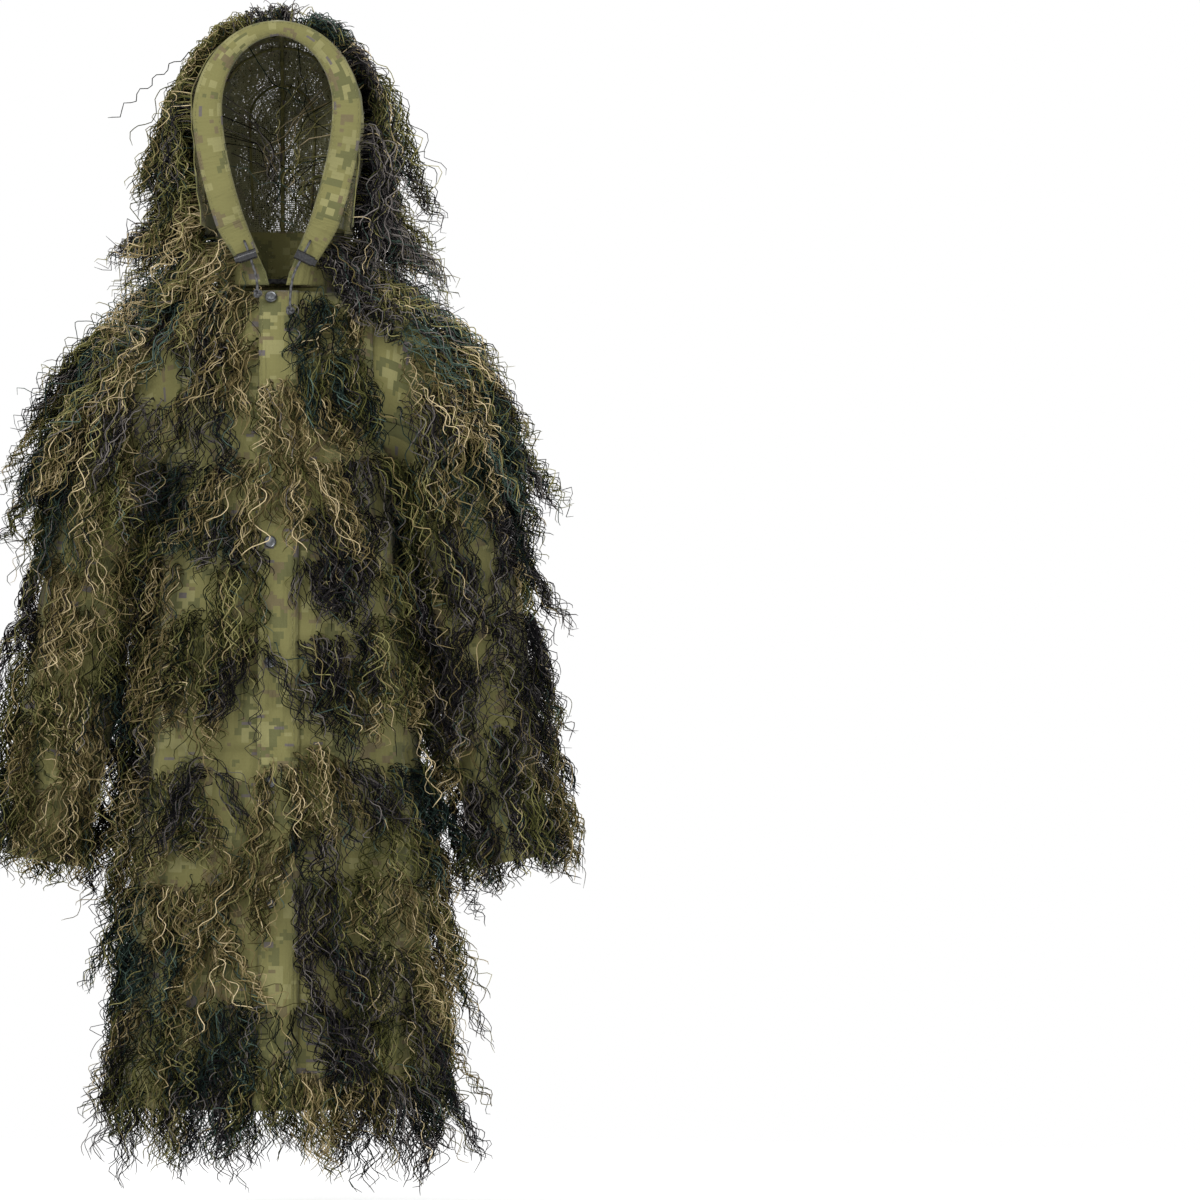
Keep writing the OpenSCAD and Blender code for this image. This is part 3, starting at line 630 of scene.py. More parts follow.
def tube(points, radius, sides=8, closed_ends=True):
    """Vertices and faces of round tubes along points, shape (n, rings, 3), or (rings, 3) for one."""
    p = np.asarray(points, float)
    p = p[None] if p.ndim == 2 else p
    n, k = p.shape[:2]
    t = np.gradient(p, axis=1)
    t /= np.linalg.norm(t, axis=2, keepdims=True) + 1e-12
    ref = np.zeros_like(t)
    ref[..., 1] = 1.0
    ref[np.abs(t[..., 1]) > 0.9] = (1, 0, 0)
    a = np.cross(t, ref)
    a /= np.linalg.norm(a, axis=2, keepdims=True) + 1e-12
    b = np.cross(t, a)
    ang = np.arange(sides) * 2 * np.pi / sides
    r = np.broadcast_to(np.asarray(radius, float), (n, k))[..., None, None]
    v = p[:, :, None] + r * (np.cos(ang)[None, None, :, None] * a[:, :, None]
                             + np.sin(ang)[None, None, :, None] * b[:, :, None])
    base = np.arange(n)[:, None, None] * k * sides
    ring = np.arange(k - 1)[None, :, None] * sides
    i = np.arange(sides)[None, None, :]
    nxt = (i + 1) % sides
    quads = np.stack(np.broadcast_arrays(base + ring + i, base + ring + nxt,
                                         base + ring + sides + nxt, base + ring + sides + i), axis=-1).reshape(-1, 4)
    faces = [quads]
    if closed_ends:
        first = np.arange(n)[:, None] * k * sides
        faces.append(np.concatenate([first + np.arange(sides)[None, ::-1],
                                     first + (k - 1) * sides + np.arange(sides)[None]]))
    return v.reshape(-1, 3), faces


def attach(ob, body=None, bend=None, replaces=()):
    """Rides on one body, or, where a bend between two bodies is given, keeps its place with its transform baked in and
    no body; hides the CAD nodes that it stands for.
    """
    if bend:
        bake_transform(ob)
    else:
        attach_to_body(ob, body)
    if replaces:
        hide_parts(*replaces)
    return ob


# ---------------------------------------------------------------- drawcord tails and their cord calls
def smooth_route(points_mm, count):
    p = np.array(points_mm, float) / 1000
    s = np.concatenate([[0], np.cumsum(np.linalg.norm(np.diff(p, axis=0), axis=1))])
    t = np.linspace(0, s[-1], count)
    return np.stack([np.interp(t, s, p[:, i]) for i in range(3)], axis=1), s[-1]


def knot(name, centre, radius):
    """Overhand knot at the end of a cord, as one closed loop of the same cord."""
    t = np.linspace(0, 2 * np.pi, 40, endpoint=True)
    reach = 2 + np.cos(3 * t)
    p = np.stack([reach * np.cos(2 * t), np.sin(3 * t) * 1.1, reach * np.sin(2 * t)], axis=1)
    v, f = tube(np.array(centre) + p * radius * 0.36, CORD_D / 2 * 0.95, 8)
    return mesh_object(name, v, f, [MAT["cord"]])


def cord_tail(side, route):
    path, length = smooth_route(route, 34)
    v, f = tube(path, CORD_D / 2, 10)
    ob = mesh_object("drawcord_tail_" + side, v, f, [MAT["cord"]])
    attach(ob, "front_" + side, replaces=("cord_tail_" + side,))
    end = knot("drawcord_knot_" + side, path[-1] + np.array([0, 0, -0.004]), 0.0042)
    attach(end, "front_" + side)
    return ob, end, path, length


tails = {side: cord_tail(side, route) for side, route in (("left", TAIL_LEFT), ("right", TAIL_RIGHT))}


# ---------------------------------------------------------------- cloth shell
def front_cloth(side, inner):
    """One front with its half of the chest: from the centre edge to the side seam."""
    edge = 86.0

    def lower(i, j):
        z = lerp(ARM_Z, -COAT_L, j)
        start = coat_ang(np.full_like(z, inner), z)
        p = coat(lerp(start, edge, i), z)
        p[..., 0] *= side
        return p

    def upper(i, j):
        x = lerp(inner, 0.118, i)
        p = shoulder(x, lerp(np.maximum(neck_q(x), 0.01), 90, j), -1)
        p[..., 0] *= side
        return p
    return lower, upper


def arm_cut(p):
    """True where a point lies outside both armholes."""
    low = (np.abs(p[:, 0]) > 0.100) & (p[:, 2] > -0.228)
    inside = (p[:, 1] / 0.083) ** 2 + ((p[:, 2] + 0.150) / 0.075) ** 2 < 1
    return ~(low & inside)


def join_grids(name, grids, material="camo", thick=0.0012):
    """Joins several grids, given as (f, nu, nv, keep, pattern shift), into one cloth mesh."""
    verts, faces, uvs, base = [], [], [], 0
    for f, nu, nv, keep, shift in grids:
        i, j = np.meshgrid(np.linspace(0, 1, nu + 1), np.linspace(0, 1, nv + 1))
        p = f(i, j)
        quads = grid_faces(nu, nv)
        flat = p.reshape(-1, 3)
        if keep is not None:
            quads = quads[keep(flat[quads].mean(axis=1))]
        verts.append(flat)
        faces.append(quads + base)
        uvs.append(grid_uv(p) + np.array(shift))
        base += len(flat)
    p, q = np.concatenate(verts), np.concatenate(faces)
    ob = mesh_object(name, p, q, [MAT[material]], uvs=np.concatenate(uvs))
    weld = ob.modifiers.new("weld", "WELD")
    weld.merge_threshold = 0.0006
    solid = ob.modifiers.new("thickness", "SOLIDIFY")
    solid.thickness, solid.offset = thick, 0
    return bake_modifiers(ob)


BODY = {1: "left", -1: "right"}
for side, inner in ((1, 0.009), (-1, -0.004)):
    lower, upper = front_cloth(side, inner)
    ob = join_grids("front_cloth_" + BODY[side], [
        (lower, 46, 150, arm_cut, (0.3 * side, 0)), (upper, 26, 40, None, (0.3 * side, 0.2))])
    name = BODY[side]
    attach(ob, bend=("torso", "front_" + name, *front_bend(side)),
           replaces=("front_panel_" + name, "skirt_front_" + name, "waist_casing_" + name))


def back_lower(i, j):
    return coat(lerp(86.0, 274.0, i), lerp(ARM_Z, -0.560, j))


def back_skirt(i, j):
    return coat(lerp(118.0, 242.0, i), lerp(-0.560, -COAT_L, j))


def back_upper(i, j):
    x = lerp(0.118, -0.118, i)
    return shoulder(x, lerp(np.maximum(neck_q(x), 0.01), 90, j), 1)


def skirt_side(a, b):
    return lambda i, j: coat(lerp(a, b, i), lerp(-0.560, -COAT_L, j))


ob = join_grids("back_cloth", [
    (back_lower, 110, 62, arm_cut, (1.5, 0)), (back_upper, 52, 40, None, (1.5, 0.4)),
    (skirt_side(86.0, 118.0), 16, 75, None, (2.6, 0)), (skirt_side(242.0, 274.0), 16, 75, None, (3.1, 0))])
attach(ob, "torso",
       replaces=("back_panel", "side_panel_left", "side_panel_right", "skirt_side_left", "skirt_side_right",
                 "yoke_back", "yoke_left", "yoke_right", "waist_casing_back"))
mesh_panel = join_grids("skirt_back_mesh_cloth", [(back_skirt, 60, 75, None, (0, 2))], "mesh")
attach(mesh_panel, "torso", replaces=("skirt_back_mesh",))


# sleeves and their heads
for side in (1, -1):
    def mirrored(f, side=side):
        def g(i, j):
            p = f(i, j)
            p[..., 0] *= side
            return p
        return g

    name = BODY[side]
    tube_part = mirrored(lambda i, j: sleeve(i * 360, lerp(CAP_START, SLEEVE_L, j)))
    ob = join_grids("sleeve_cloth_" + name, [(tube_part, 72, 84, None, (4 + side, 0))])
    attach(ob, "sleeve_" + name, replaces=("sleeve_" + name, "cuff_" + name))
    upper_cap = mirrored(lambda i, j: cap(lerp(-100.0, 100.0, i), j))
    ob = join_grids("sleeve_head_" + name, [(upper_cap, 44, 26, None, (5 + side, 0))])
    attach(ob, bend=("torso", "sleeve_" + name, *sleeve_bend(side)))
    lower_cap = mirrored(lambda i, j: cap(lerp(100.0, 260.0, i), j))
    ob = join_grids("sleeve_gusset_" + name, [(lower_cap, 34, 16, None, (6 + side, 0))])
    attach(ob, bend=("torso", "sleeve_" + name, (side * 0.134, 0, 0), (side * 0.149, 0, 0)))

# hood
HOOD_SPLIT = 0.60
ob = join_grids("hood_cloth", [(lambda i, j: hood(lerp(1.0, -1.0, i), lerp(0.0, HOOD_SPLIT, j)),
                                96, 30, None, (8, 0))])
attach(ob, bend=BEND_HOOD,
       replaces=("hood_left", "hood_right", "hood_top"))
ob = join_grids("hood_mesh_cloth", [(lambda i, j: hood(lerp(1.0, -1.0, i), lerp(HOOD_SPLIT, 1.0, j)),
                                     96, 30, None, (9, 0))], "mesh")
attach(ob, bend=BEND_HOOD, replaces=("hood_back_mesh",))

# ---------------------------------------------------------------- trims
def stitches(name, path, body, bend=None, pitch=0.0042, length=0.0026, radius=0.00032):
    """A line of stitches: short raised threads along a path of points."""
    s = np.concatenate([[0], np.cumsum(np.linalg.norm(np.diff(path, axis=0), axis=1))])
    starts = np.arange(0, s[-1] - length, pitch)
    t = starts[:, None] + np.linspace(0, length, 3)[None]
    p = np.stack([np.interp(t, s, path[:, i]) for i in range(3)], axis=2)
    v, f = tube(p, radius, 4)
    ob = mesh_object(name, v, f, [MAT["thread"]])
    return attach(ob, body, bend)


RIM_HALF = 0.086
RIM_ARCH = 0.104


def rim_centre(s):
    """Middle of the facing round the face: -1 and 1 are the lower ends, 0 the brow."""
    turn = np.clip(np.abs(s) / 0.55, 0, 1) * math.pi / 2
    leg = np.maximum((np.abs(s) - 0.55) / 0.45, 0)
    x = np.sign(s) * lerp(RIM_HALF * np.sin(turn), 0.058, leg ** 1.6)
    z = lerp(HOOD_MID + RIM_ARCH * np.cos(turn), HOOD_BASE + 0.003, leg) + 0.035 * np.maximum(0, leg - 1)
    return x, z


def rim(i, j):
    s = lerp(1.20, -1.20, i)
    x, z = rim_centre(s)
    x2, z2 = rim_centre(s - 0.004)
    dx, dz = x2 - x, z2 - z
    scale = np.hypot(dx, dz) + 1e-9
    half = lerp(0.0085, RIM_W / 2, np.clip(np.abs(s) / 0.55, 0, 1)) - 0.004 * np.clip((np.abs(s) - 1) / 0.2, 0, 1)
    across = (j - 0.5) * 2
    wave = 0.0012 * fold_a(s * 16 + 20, across + 3)
    y = -0.1168 - 0.0035 * (1 - across ** 2) + wave + 0.004 * np.clip(across, 0, 1) ** 2
    y = y + 0.011 * smooth((np.abs(s) - 0.85) / 0.25)
    return np.stack([x + across * half * -dz / scale, y + 0 * x, z + across * half * dx / scale], axis=-1)


ob = join_grids("hood_rim_cloth", [(rim, 120, 10, None, (12, 0))])
attach(ob, bend=BEND_HOOD, replaces=("hood_rim",))
grid_i = np.linspace(0, 1, 400)
for k, j in enumerate((0.10, 0.90)):
    stitches(f"hood_rim_stitching_{k}", rim(grid_i, np.full(400, j)) - (0, 0.0008, 0), "hood",
             ("torso", "hood", *HOOD_BEND))
seam = hood(np.zeros(60), np.linspace(0.10, 0.985, 60), -0.0035)
down = hood(np.linspace(0.5, 1.0, 40), np.ones(40), -0.0035)
v, f = tube(np.concatenate([seam, down]), 0.0030, 6)
ob = mesh_object("hood_centre_seam", v, f, [MAT["trim"]])
attach(ob, bend=BEND_HOOD)
for k, t in enumerate((0.42, 0.64, 0.86)):
    u = np.linspace(-0.85, 0.85, 70)
    v, f = tube(hood(u, np.full(70, t), -0.0030), 0.0016, 6)
    ob = mesh_object(f"hood_cross_seam_{k}", v, f, [MAT["trim"]])
    attach(ob, bend=BEND_HOOD)


def placket(i, j):
    z = lerp(-0.003, -COAT_L, j)
    x = lerp(-0.022, 0.026, i) + 0.0010 * fold_a(z * 14 + 50, i * 2 + 1) - 0.006 * smooth((-0.93 - z) / 0.08)
    lift = 0.0112 + 0.0012 * fold_b(z * 20 + 50, i * 3 + 9) - 0.004 * smooth((i - 0.75) * 4)
    curl_up = 0.010 * smooth((-0.96 - z) / 0.05) * (1 - i)
    return front_at(x, z, lift + curl_up - 0.0026)


ob = join_grids("placket_cloth", [(placket, 12, 220, None, (13, 0))])
attach(ob, "front_left", replaces=("placket",))
grid_j = np.linspace(0.004, 0.996, 500)
for k, i in enumerate((0.08, 0.86)):
    stitches(f"placket_stitching_{k}", placket(np.full(500, i), grid_j) - (0, 0.0009, 0), "front_left")

# collar: the back and sides stay with the shoulders, the two fronts go with the fronts
ob = join_grids("collar_cloth", [(lambda i, j: collar(lerp(44.0, 316.0, i), lerp(-0.012, 0.075, j)),
                                  70, 14, None, (10, 0))])
attach(ob, "torso", replaces=("collar_back",))


# fronts of the collar, from the throat back to the shoulders
THROAT_W = ([0.004, 0.020, 0.050, 0.066], [0.010, 0.014, 0.028, 0.034])


def collar_front(side):
    def f(i, j):
        z = lerp(0.004, 0.066, j)
        throat = np.interp(z, *THROAT_W) / lerp(NECK_HALF_W, 0.079, z / 0.060)
        ang = lerp(np.degrees(np.arcsin(throat ** 1.1)), 46.0, i)
        return collar(ang, z, 0.0010 + 0.0004 * fold_a(ang * 0.1 + 20, z * 40 + 20)) * (side, 1, 1)
    return f


for side in (1, -1):
    name = BODY[side]
    ob = join_grids("collar_front_cloth_" + name, [(collar_front(side), 24, 24, None, (11 + side, 0))])
    attach(ob, "front_" + name, replaces=("collar_front_" + name,))
    down = collar_front(side)(np.full(40, 0.05), np.linspace(0.02, 0.98, 40)) - (0, 0.0009, 0)
    stitches("collar_stitching_" + name, down, "front_" + name)


# tapes, loop and elastics: plain woven strips sewn to the shell
def band(ends, top, bottom, off, ribs=0, depth=0.0):
    """A strip round the coat between two angles, with ribs along it."""
    def f(i, j):
        return coat(lerp(*ends, i), lerp(top, bottom, j), off + depth * np.sin(ribs * 2 * math.pi * j))
    return f


HEM_TOP = -COAT_L + 0.020
SIDE_SEAM = 86.0
hem = band((SIDE_SEAM, 360 - SIDE_SEAM), HEM_TOP, -COAT_L, 0.0014)
ob = join_grids("hem_tape_cloth", [(hem, 130, 4, None, (14, 0))])
attach(ob, "torso", replaces=("hem_tape_back",))
hem_ang = np.linspace(SIDE_SEAM, 360 - SIDE_SEAM, 700)
stitches("hem_stitching", coat(hem_ang, np.full(700, -COAT_L + 0.017), 0.0023), "torso")
for side in (1, -1):
    ends = (14.0, SIDE_SEAM) if side > 0 else (360 - SIDE_SEAM, 360 - 2.0)
    ob = join_grids("front_hem_cloth_" + BODY[side], [(band(ends, HEM_TOP, -COAT_L, 0.0014), 50, 4, None, (20, 0))])
    attach(ob, bend=("torso", "front_" + BODY[side], *front_bend(side)))

waist = band((74.0, 286.0), WAIST_Z + 0.017, WAIST_Z - 0.017, -0.0022, 9, 0.00035)
ob = join_grids("waist_elastic_band", [(waist, 180, 72, None, (15, 0))], "elastic", 0.0010)
attach(ob, "torso", replaces=("waist_elastic_back",))

for side in (1, -1):
    name = BODY[side]

    def cuff_band(i, j, side=side):
        ribs = 0.00035 * np.sin(5 * 2 * math.pi * j)
        return sleeve(i * 360, lerp(SLEEVE_L - 0.028, SLEEVE_L - 0.008, j), -0.0024 + ribs) * (side, 1, 1)

    ob = join_grids("cuff_elastic_band_" + name, [(cuff_band, 72, 40, None, (16, 0))], "elastic", 0.0010)
    attach(ob, "sleeve_" + name, replaces=("cuff_elastic_" + name,))


def facing(i, j):
    z = lerp(-0.004, -COAT_L + 0.004, j)
    x = lerp(-0.023, 0.014, i)
    return front_at(x, z, 0.0044 + 0.0005 * fold_a(z * 18 + 50, i * 2 + 5))


ob = join_grids("placket_facing_cloth", [(facing, 8, 200, None, (17, 0))])
attach(ob, "front_left", replaces=("placket_facing",))

ob = join_grids("neck_tape_cloth", [(lambda i, j: collar(lerp(120.0, 240.0, i), lerp(0.006, 0.020, j), -0.0018),
                                     40, 6, None, (18, 0))], "trim")
attach(ob, "torso", replaces=("neck_tape",))
edges = np.linspace(121.0, 239.0, 200)
for k, z in enumerate((0.0075, 0.0185)):
    stitches(f"neck_tape_stitching_{k}", collar(edges, np.full(200, z), -0.0027), "torso")


def hanger(i, j):
    bow = 0.007 * np.sin(math.pi * np.clip(i, 0, 1)) ** 0.7
    return collar(lerp(153.0, 207.0, i), lerp(0.010, 0.016, j), -0.0042 - bow + 0.0003 * np.sin(3 * math.pi * j))


ob = join_grids("hanger_loop_strap", [(hanger, 60, 12, None, (19, 0))], "cord", 0.0011)
attach(ob, "torso", replaces=("hanger_loop",))


# the cord inside the hood's facing: two braided yarns twisted round each other, seen from within
line_s = np.linspace(-0.96, 0.96, 420)
line_x, line_z = rim_centre(line_s)
core = np.stack([line_x * 0.94, np.full(420, HOOD_FRONT + 0.0002), line_z - 0.002], axis=1)
tangent = np.gradient(core, axis=0)
tangent /= np.linalg.norm(tangent, axis=1, keepdims=True)
out = np.cross(tangent, (0.0, 1.0, 0.0))
run = np.concatenate([[0], np.cumsum(np.linalg.norm(np.diff(core, axis=0), axis=1))])
plies = []
for turn in (0.0, math.pi):
    a = run / 0.006 * 2 * math.pi * 0.5 + turn
    plies.append(core + 0.00075 * (np.cos(a)[:, None] * out + np.sin(a)[:, None] * np.array([0.0, 1.0, 0.0])))
v, f = tube(np.stack(plies), 0.00085, 6)
ob = mesh_object("hood_drawcord_braid", v, f, [MAT["cord"]])
attach(ob, bend=BEND_HOOD, replaces=("hood_drawcord",))


# ---------------------------------------------------------------- yarn
def surface(f, nu, nv, axis, sides=(1,)):
    """Vertices and triangles of a coarse copy of the cloth, facing away from axis(centres)."""
    out = []
    for side in sides:
        i, j = np.meshgrid(np.linspace(0, 1, nu + 1), np.linspace(0, 1, nv + 1))
        p = f(i, j).reshape(-1, 3) * (side, 1, 1)
        q = grid_faces(nu, nv)
        t = np.concatenate([q[:, [0, 1, 2]], q[:, [0, 2, 3]]])
        normal = np.cross(p[t[:, 1]] - p[t[:, 0]], p[t[:, 2]] - p[t[:, 0]])
        centre = p[t].mean(axis=1)
        inward = (normal * (centre - axis(centre, side))).sum(axis=1) < 0
        t[inward] = t[inward][:, ::-1]
        out.append((p, t))
    return out


def body_axis(c, side):
    return np.stack([c[:, 0] * 0, c[:, 0] * 0, np.minimum(c[:, 2], ARM_Z)], axis=1)


def sleeve_axis(c, side):
    along = (SHOULDER[2] - c[:, 2]) / math.cos(SLEEVE_TILT)
    along = np.maximum(along, 0.0)
    return np.stack([side * (SHOULDER[0] - 0.03 + along * math.sin(SLEEVE_TILT)), 0 * along,
                     SHOULDER[2] - along * math.cos(SLEEVE_TILT)], axis=1)


def head_axis(c, side):
    return np.stack([side * 0.150 + 0 * c[:, 0], 0 * c[:, 0], np.minimum(c[:, 2], -0.14)], axis=1)


def hood_axis(c, side):
    return np.stack([0 * c[:, 0], np.clip(c[:, 1], -1, -0.01), np.minimum(c[:, 2], 0.20)], axis=1)


REGIONS, region_verts, region_tris, region_ids = [], [], [], []


def add_region(name, parts, keep=None):
    index = len(REGIONS)
    REGIONS.append(name)
    for p, t in parts:
        if keep is not None:
            t = t[keep(p[t].mean(axis=1))]
        base = sum(len(v) for v in region_verts)
        region_verts.append(p)
        region_tris.append(t + base)
        region_ids.append(np.full(len(t), index))


for side in (1, -1):
    low, high = front_cloth(1, 0.0)
    name = BODY[side]
    add_region("front_" + name, surface(low, 24, 60, body_axis, (side,)) + surface(high, 14, 20, body_axis, (side,)),
               arm_cut)
    add_region("sleeve_" + name, surface(lambda i, j: sleeve(i * 360, lerp(CAP_START, SLEEVE_L, j)), 30, 34,
                                         sleeve_axis, (side,)))
    add_region("head_" + name, surface(lambda i, j: cap(lerp(-180.0, 180.0, i), j), 40, 10, head_axis, (side,)))
add_region("back", surface(back_lower, 50, 30, body_axis) + surface(back_upper, 26, 20, body_axis)
           + surface(lambda i, j: coat(lerp(86.0, 274.0, i), lerp(-0.560, -COAT_L, j)), 50, 30, body_axis)
           + surface(lambda i, j: collar(lerp(30.0, 330.0, i), lerp(-0.012, 0.075, j)), 40, 6,
                     lambda c, side: c * (0, 0, 1)), arm_cut)
add_region("hood", surface(lambda i, j: hood(lerp(1.0, -1.0, i), lerp(0.0, 0.99, j)), 48, 24, hood_axis))
all_tris = np.concatenate(region_tris)
all_ids = np.concatenate(region_ids)
all_verts = np.concatenate(region_verts)


def search_tree(names):
    keep = np.flatnonzero(np.isin(all_ids, [REGIONS.index(n) for n in names]))
    return BVHTree.FromPolygons(all_verts.tolist(), all_tris[keep].tolist()), all_ids[keep]


TORSO = search_tree(["front_left", "front_right", "back"])
ARMS = {s: search_tree(["sleeve_" + BODY[s], "head_" + BODY[s]]) for s in (1, -1)}
HOOD = search_tree(["hood"])
EVERYTHING = search_tree(REGIONS)


def sew(tree, origins, directions):
    """Where rays meet the cloth: points, outward normals, region numbers, and which rays met it."""
    points, normals, regions, met = [], [], [], []
    for o, d in zip(origins, directions, strict=True):
        hit, normal, index, _ = tree[0].ray_cast(Vector(o), Vector(d))
        met.append(hit is not None)
        if hit is not None:
            points.append(hit[:])
            normals.append(normal[:])
            regions.append(tree[1][index])
    return np.array(points).reshape(-1, 3), np.array(normals).reshape(-1, 3), np.array(regions, int), np.array(met)


# Each letter of a chart is one sewn tuft, and says how its colours are mixed
MIXES = {"s": (0.68, 0.24, 0.05, 0.03), "o": (0.14, 0.70, 0.09, 0.07), "t": (0.02, 0.17, 0.64, 0.17),
         "c": (0.03, 0.10, 0.08, 0.79), "b": (0.40, 0.22, 0.02, 0.36)}
strands = {k: [] for k in ("root", "normal", "region", "length", "lean", "lock", "kind", "lift", "wild")}
lock_count = 0


def tuft(tree, aim, width, height, count, length, letter, lean=(0.0, 0.0), lift=(0.003, 0.020)):
    """One tuft. aim(s, h) gives ray origins and directions for s along the seam and h up the cloth, in metres."""
    global lock_count
    s = rng.uniform(-0.5, 0.5, count) * width
    h = rng.normal(0, height, count) - 0.010 * np.abs(s / width * 2) ** 2
    root, normal, region, met = sew(tree, *aim(s, h))
    n = len(root)
    if n == 0:
        return
    strands["root"].append(root)
    strands["normal"].append(normal)
    strands["region"].append(region)
    locks = np.floor((s[met] / width + 0.5) * max(1, width / 0.015) + rng.uniform(0, 0.8, n)).astype(int)
    by_lock = rng.uniform(0.68, 1.15, locks.max() + 1)[locks]
    strands["length"].append(length * by_lock * rng.uniform(0.60, 1.10, n))
    strands["lean"].append(np.tile(lean, (n, 1)) + rng.normal(0, 0.04, (1, 2)))
    strands["lock"].append(lock_count + locks)
    lock_count += int(locks.max()) + 1
    strands["kind"].append(rng.choice(4, n, p=MIXES[letter]))
    strands["lift"].append(rng.uniform(*lift, n))
    strands["wild"].append((rng.random(n) < 0.06).astype(float))


def front_aim(x, z, depth=-1.0):
    def aim(s, h):
        o = np.stack([x + s, np.full_like(s, depth), z + h], axis=1)
        return o, np.tile((0, -np.sign(depth), 0), (len(s), 1))
    return aim


def polar_aim(ang, z, centre=(0.0, 0.0)):
    """Rays towards the middle of the body, for the sides and the back."""
    def aim(s, h):
        a = np.radians(ang) + s / 0.16
        d = np.stack([np.sin(a), -np.cos(a), 0 * a], axis=1)
        c = np.stack([centre[0] + 0 * a, centre[1] + 0 * a, z + h], axis=1)
        return c + d * 0.6, -d
    return aim


def sleeve_aim(side, ang, t):
    def aim(s, h):
        a = np.radians(ang) + s / 0.06
        tt = t - h
        axis = np.stack([SHOULDER[0] + tt * math.sin(SLEEVE_TILT), 0 * tt,
                         SHOULDER[2] - tt * math.cos(SLEEVE_TILT)], axis=1)
        d = np.stack([np.cos(a) * math.cos(SLEEVE_TILT), np.sin(a), np.cos(a) * math.sin(SLEEVE_TILT)], axis=1)
        flip = np.array([side, 1, 1])
        return (axis + d * 0.3) * flip, -d * flip
    return aim


def hood_aim(azimuth, elevation):
    """Rays towards the middle of the head. Azimuth 0 is the face, 90 the wearer's left, 180 the back."""
    def aim(s, h):
        a = np.radians(azimuth) + s / 0.12
        e = np.radians(elevation) + h / 0.12
        d = np.stack([np.sin(a) * np.cos(e), -np.cos(a) * np.cos(e), np.sin(e)], axis=1)
        c = np.array([0.0, 0.01, 0.19])
        return c + d * 0.5, -d
    return aim


COLUMNS = [-0.180, -0.135, -0.090, -0.045, 0.0, 0.045, 0.090, 0.135, 0.180]
FRONT_CHART = [
    (-0.030, "tccs.tsot"), (-0.085, "s.cs.tosc"), (-0.130, ".oc.sstoc"), (-0.215, "o.tssscot"),
    (-0.275, "ootc.cc.c"), (-0.345, "ss.o.ccoc"), (-0.415, "osoo.cco."), (-0.465, "ossc.cosb"),
    (-0.590, "soc.ssctt"), (-0.655, ".os.sc.ot"), (-0.735, "tsss.coss"), (-0.815, "tts..ccos"),
    (-0.890, "sott.ccoc"), (-0.950, "o.tto.sct"), (-0.985, "coct.sscc")]
BACK_CHART = [
    (-0.030, "tcocotco."), (-0.100, "c..tosso."), (-0.190, "cst..o.sc"), (-0.295, "tccccostt"),
    (-0.370, "otccosost"), (-0.445, "c.coo.oos"), (-0.520, "cbooossot"), (-0.600, "cc.ssc.cc"),
    (-0.685, "ccoosot.c"), (-0.770, "cocc..otc"), (-0.855, "c.to.scoc"), (-0.925, "csottsooc"),
    (-0.980, "coctsotcc")]


def front_lean(x):
    """Sideways lean of a front tuft: those next to the placket fall away from it."""
    lean = rng.normal(0, 0.22)
    return math.copysign(abs(lean) + 0.10, x) if 0 < abs(x) < 0.05 else lean


for z, letters in FRONT_CHART:
    for x, letter in zip(COLUMNS, letters, strict=True):
        if letter == "." or abs(x) > 0.11 and z > -0.09:
            continue
        tuft(TORSO, front_aim(x + rng.normal(0, 0.006), z + rng.normal(0, 0.010)), 0.056, 0.007, 66,
             rng.uniform(0.095, 0.145), letter, lean=(front_lean(x), -0.05))
for z, letters in BACK_CHART:
    for x, letter in zip(COLUMNS, letters, strict=True):
        if letter == "." or abs(x) > 0.11 and z > -0.09:
            continue
        tuft(TORSO, front_aim(x + rng.normal(0, 0.006), z + rng.normal(0, 0.012), 1.0), 0.060, 0.008, 62,
             rng.uniform(0.110, 0.160), letter, lean=(rng.normal(0, 0.14), 0.05))
for side in (1, -1):
    for z in np.arange(-0.26, -1.0, -0.085):
        for ang in (78, 102):
            tuft(TORSO, polar_aim(side * ang, z + rng.normal(0, 0.010)), 0.070, 0.008, 46,
                 rng.uniform(0.10, 0.15), rng.choice(list("sotcc")))

# Sleeves: rows down the sleeve, columns round it from the back, over the outside, to the front
SLEEVE_ANGLES = [150, 110, 70, 30, -10, -50, -90, -130]
SLEEVE_CHART = {
    1: [(0.100, "tcctctto"), (0.165, "ccottcco"), (0.235, "soccocco"), (0.305, "tocccccc"), (0.375, "ccosoccc"),
        (0.440, "otccsccs"), (0.500, "ccsssocc"), (0.555, "ccooscco")],
    -1: [(0.100, "otcsotso"), (0.165, "ccocotss"), (0.235, "socccsso"), (0.305, "totccsso"), (0.375, "ccosoost"),
         (0.440, "otccosss"), (0.500, "cccttoss"), (0.555, "ccottsso")]}
for side, rows in SLEEVE_CHART.items():
    for t, letters in rows:
        for ang, letter in zip(SLEEVE_ANGLES, letters, strict=True):
            long = 0.085 if t > 0.52 else rng.uniform(0.10, 0.14)
            tuft(ARMS[side], sleeve_aim(side, ang + rng.normal(0, 5), t + rng.normal(0, 0.008)), 0.042, 0.007, 48,
                 long, letter, lean=(0.10 * side, 0.0))
    # the cape over the shoulder
    for t, letters in ((-0.035, "oct.tcs"), (0.020, "ctsotsc"), (0.070, "tcoctso")):
        for ang, letter in zip((100, 65, 30, 0, -30, -65, -100), letters, strict=True):
            if letter != ".":
                tuft(ARMS[side], sleeve_aim(side, ang + rng.normal(0, 5), t), 0.050, 0.008, 62,
                     rng.uniform(0.13, 0.17), letter, lean=(0.25 * side, 0.0), lift=(0.005, 0.028))


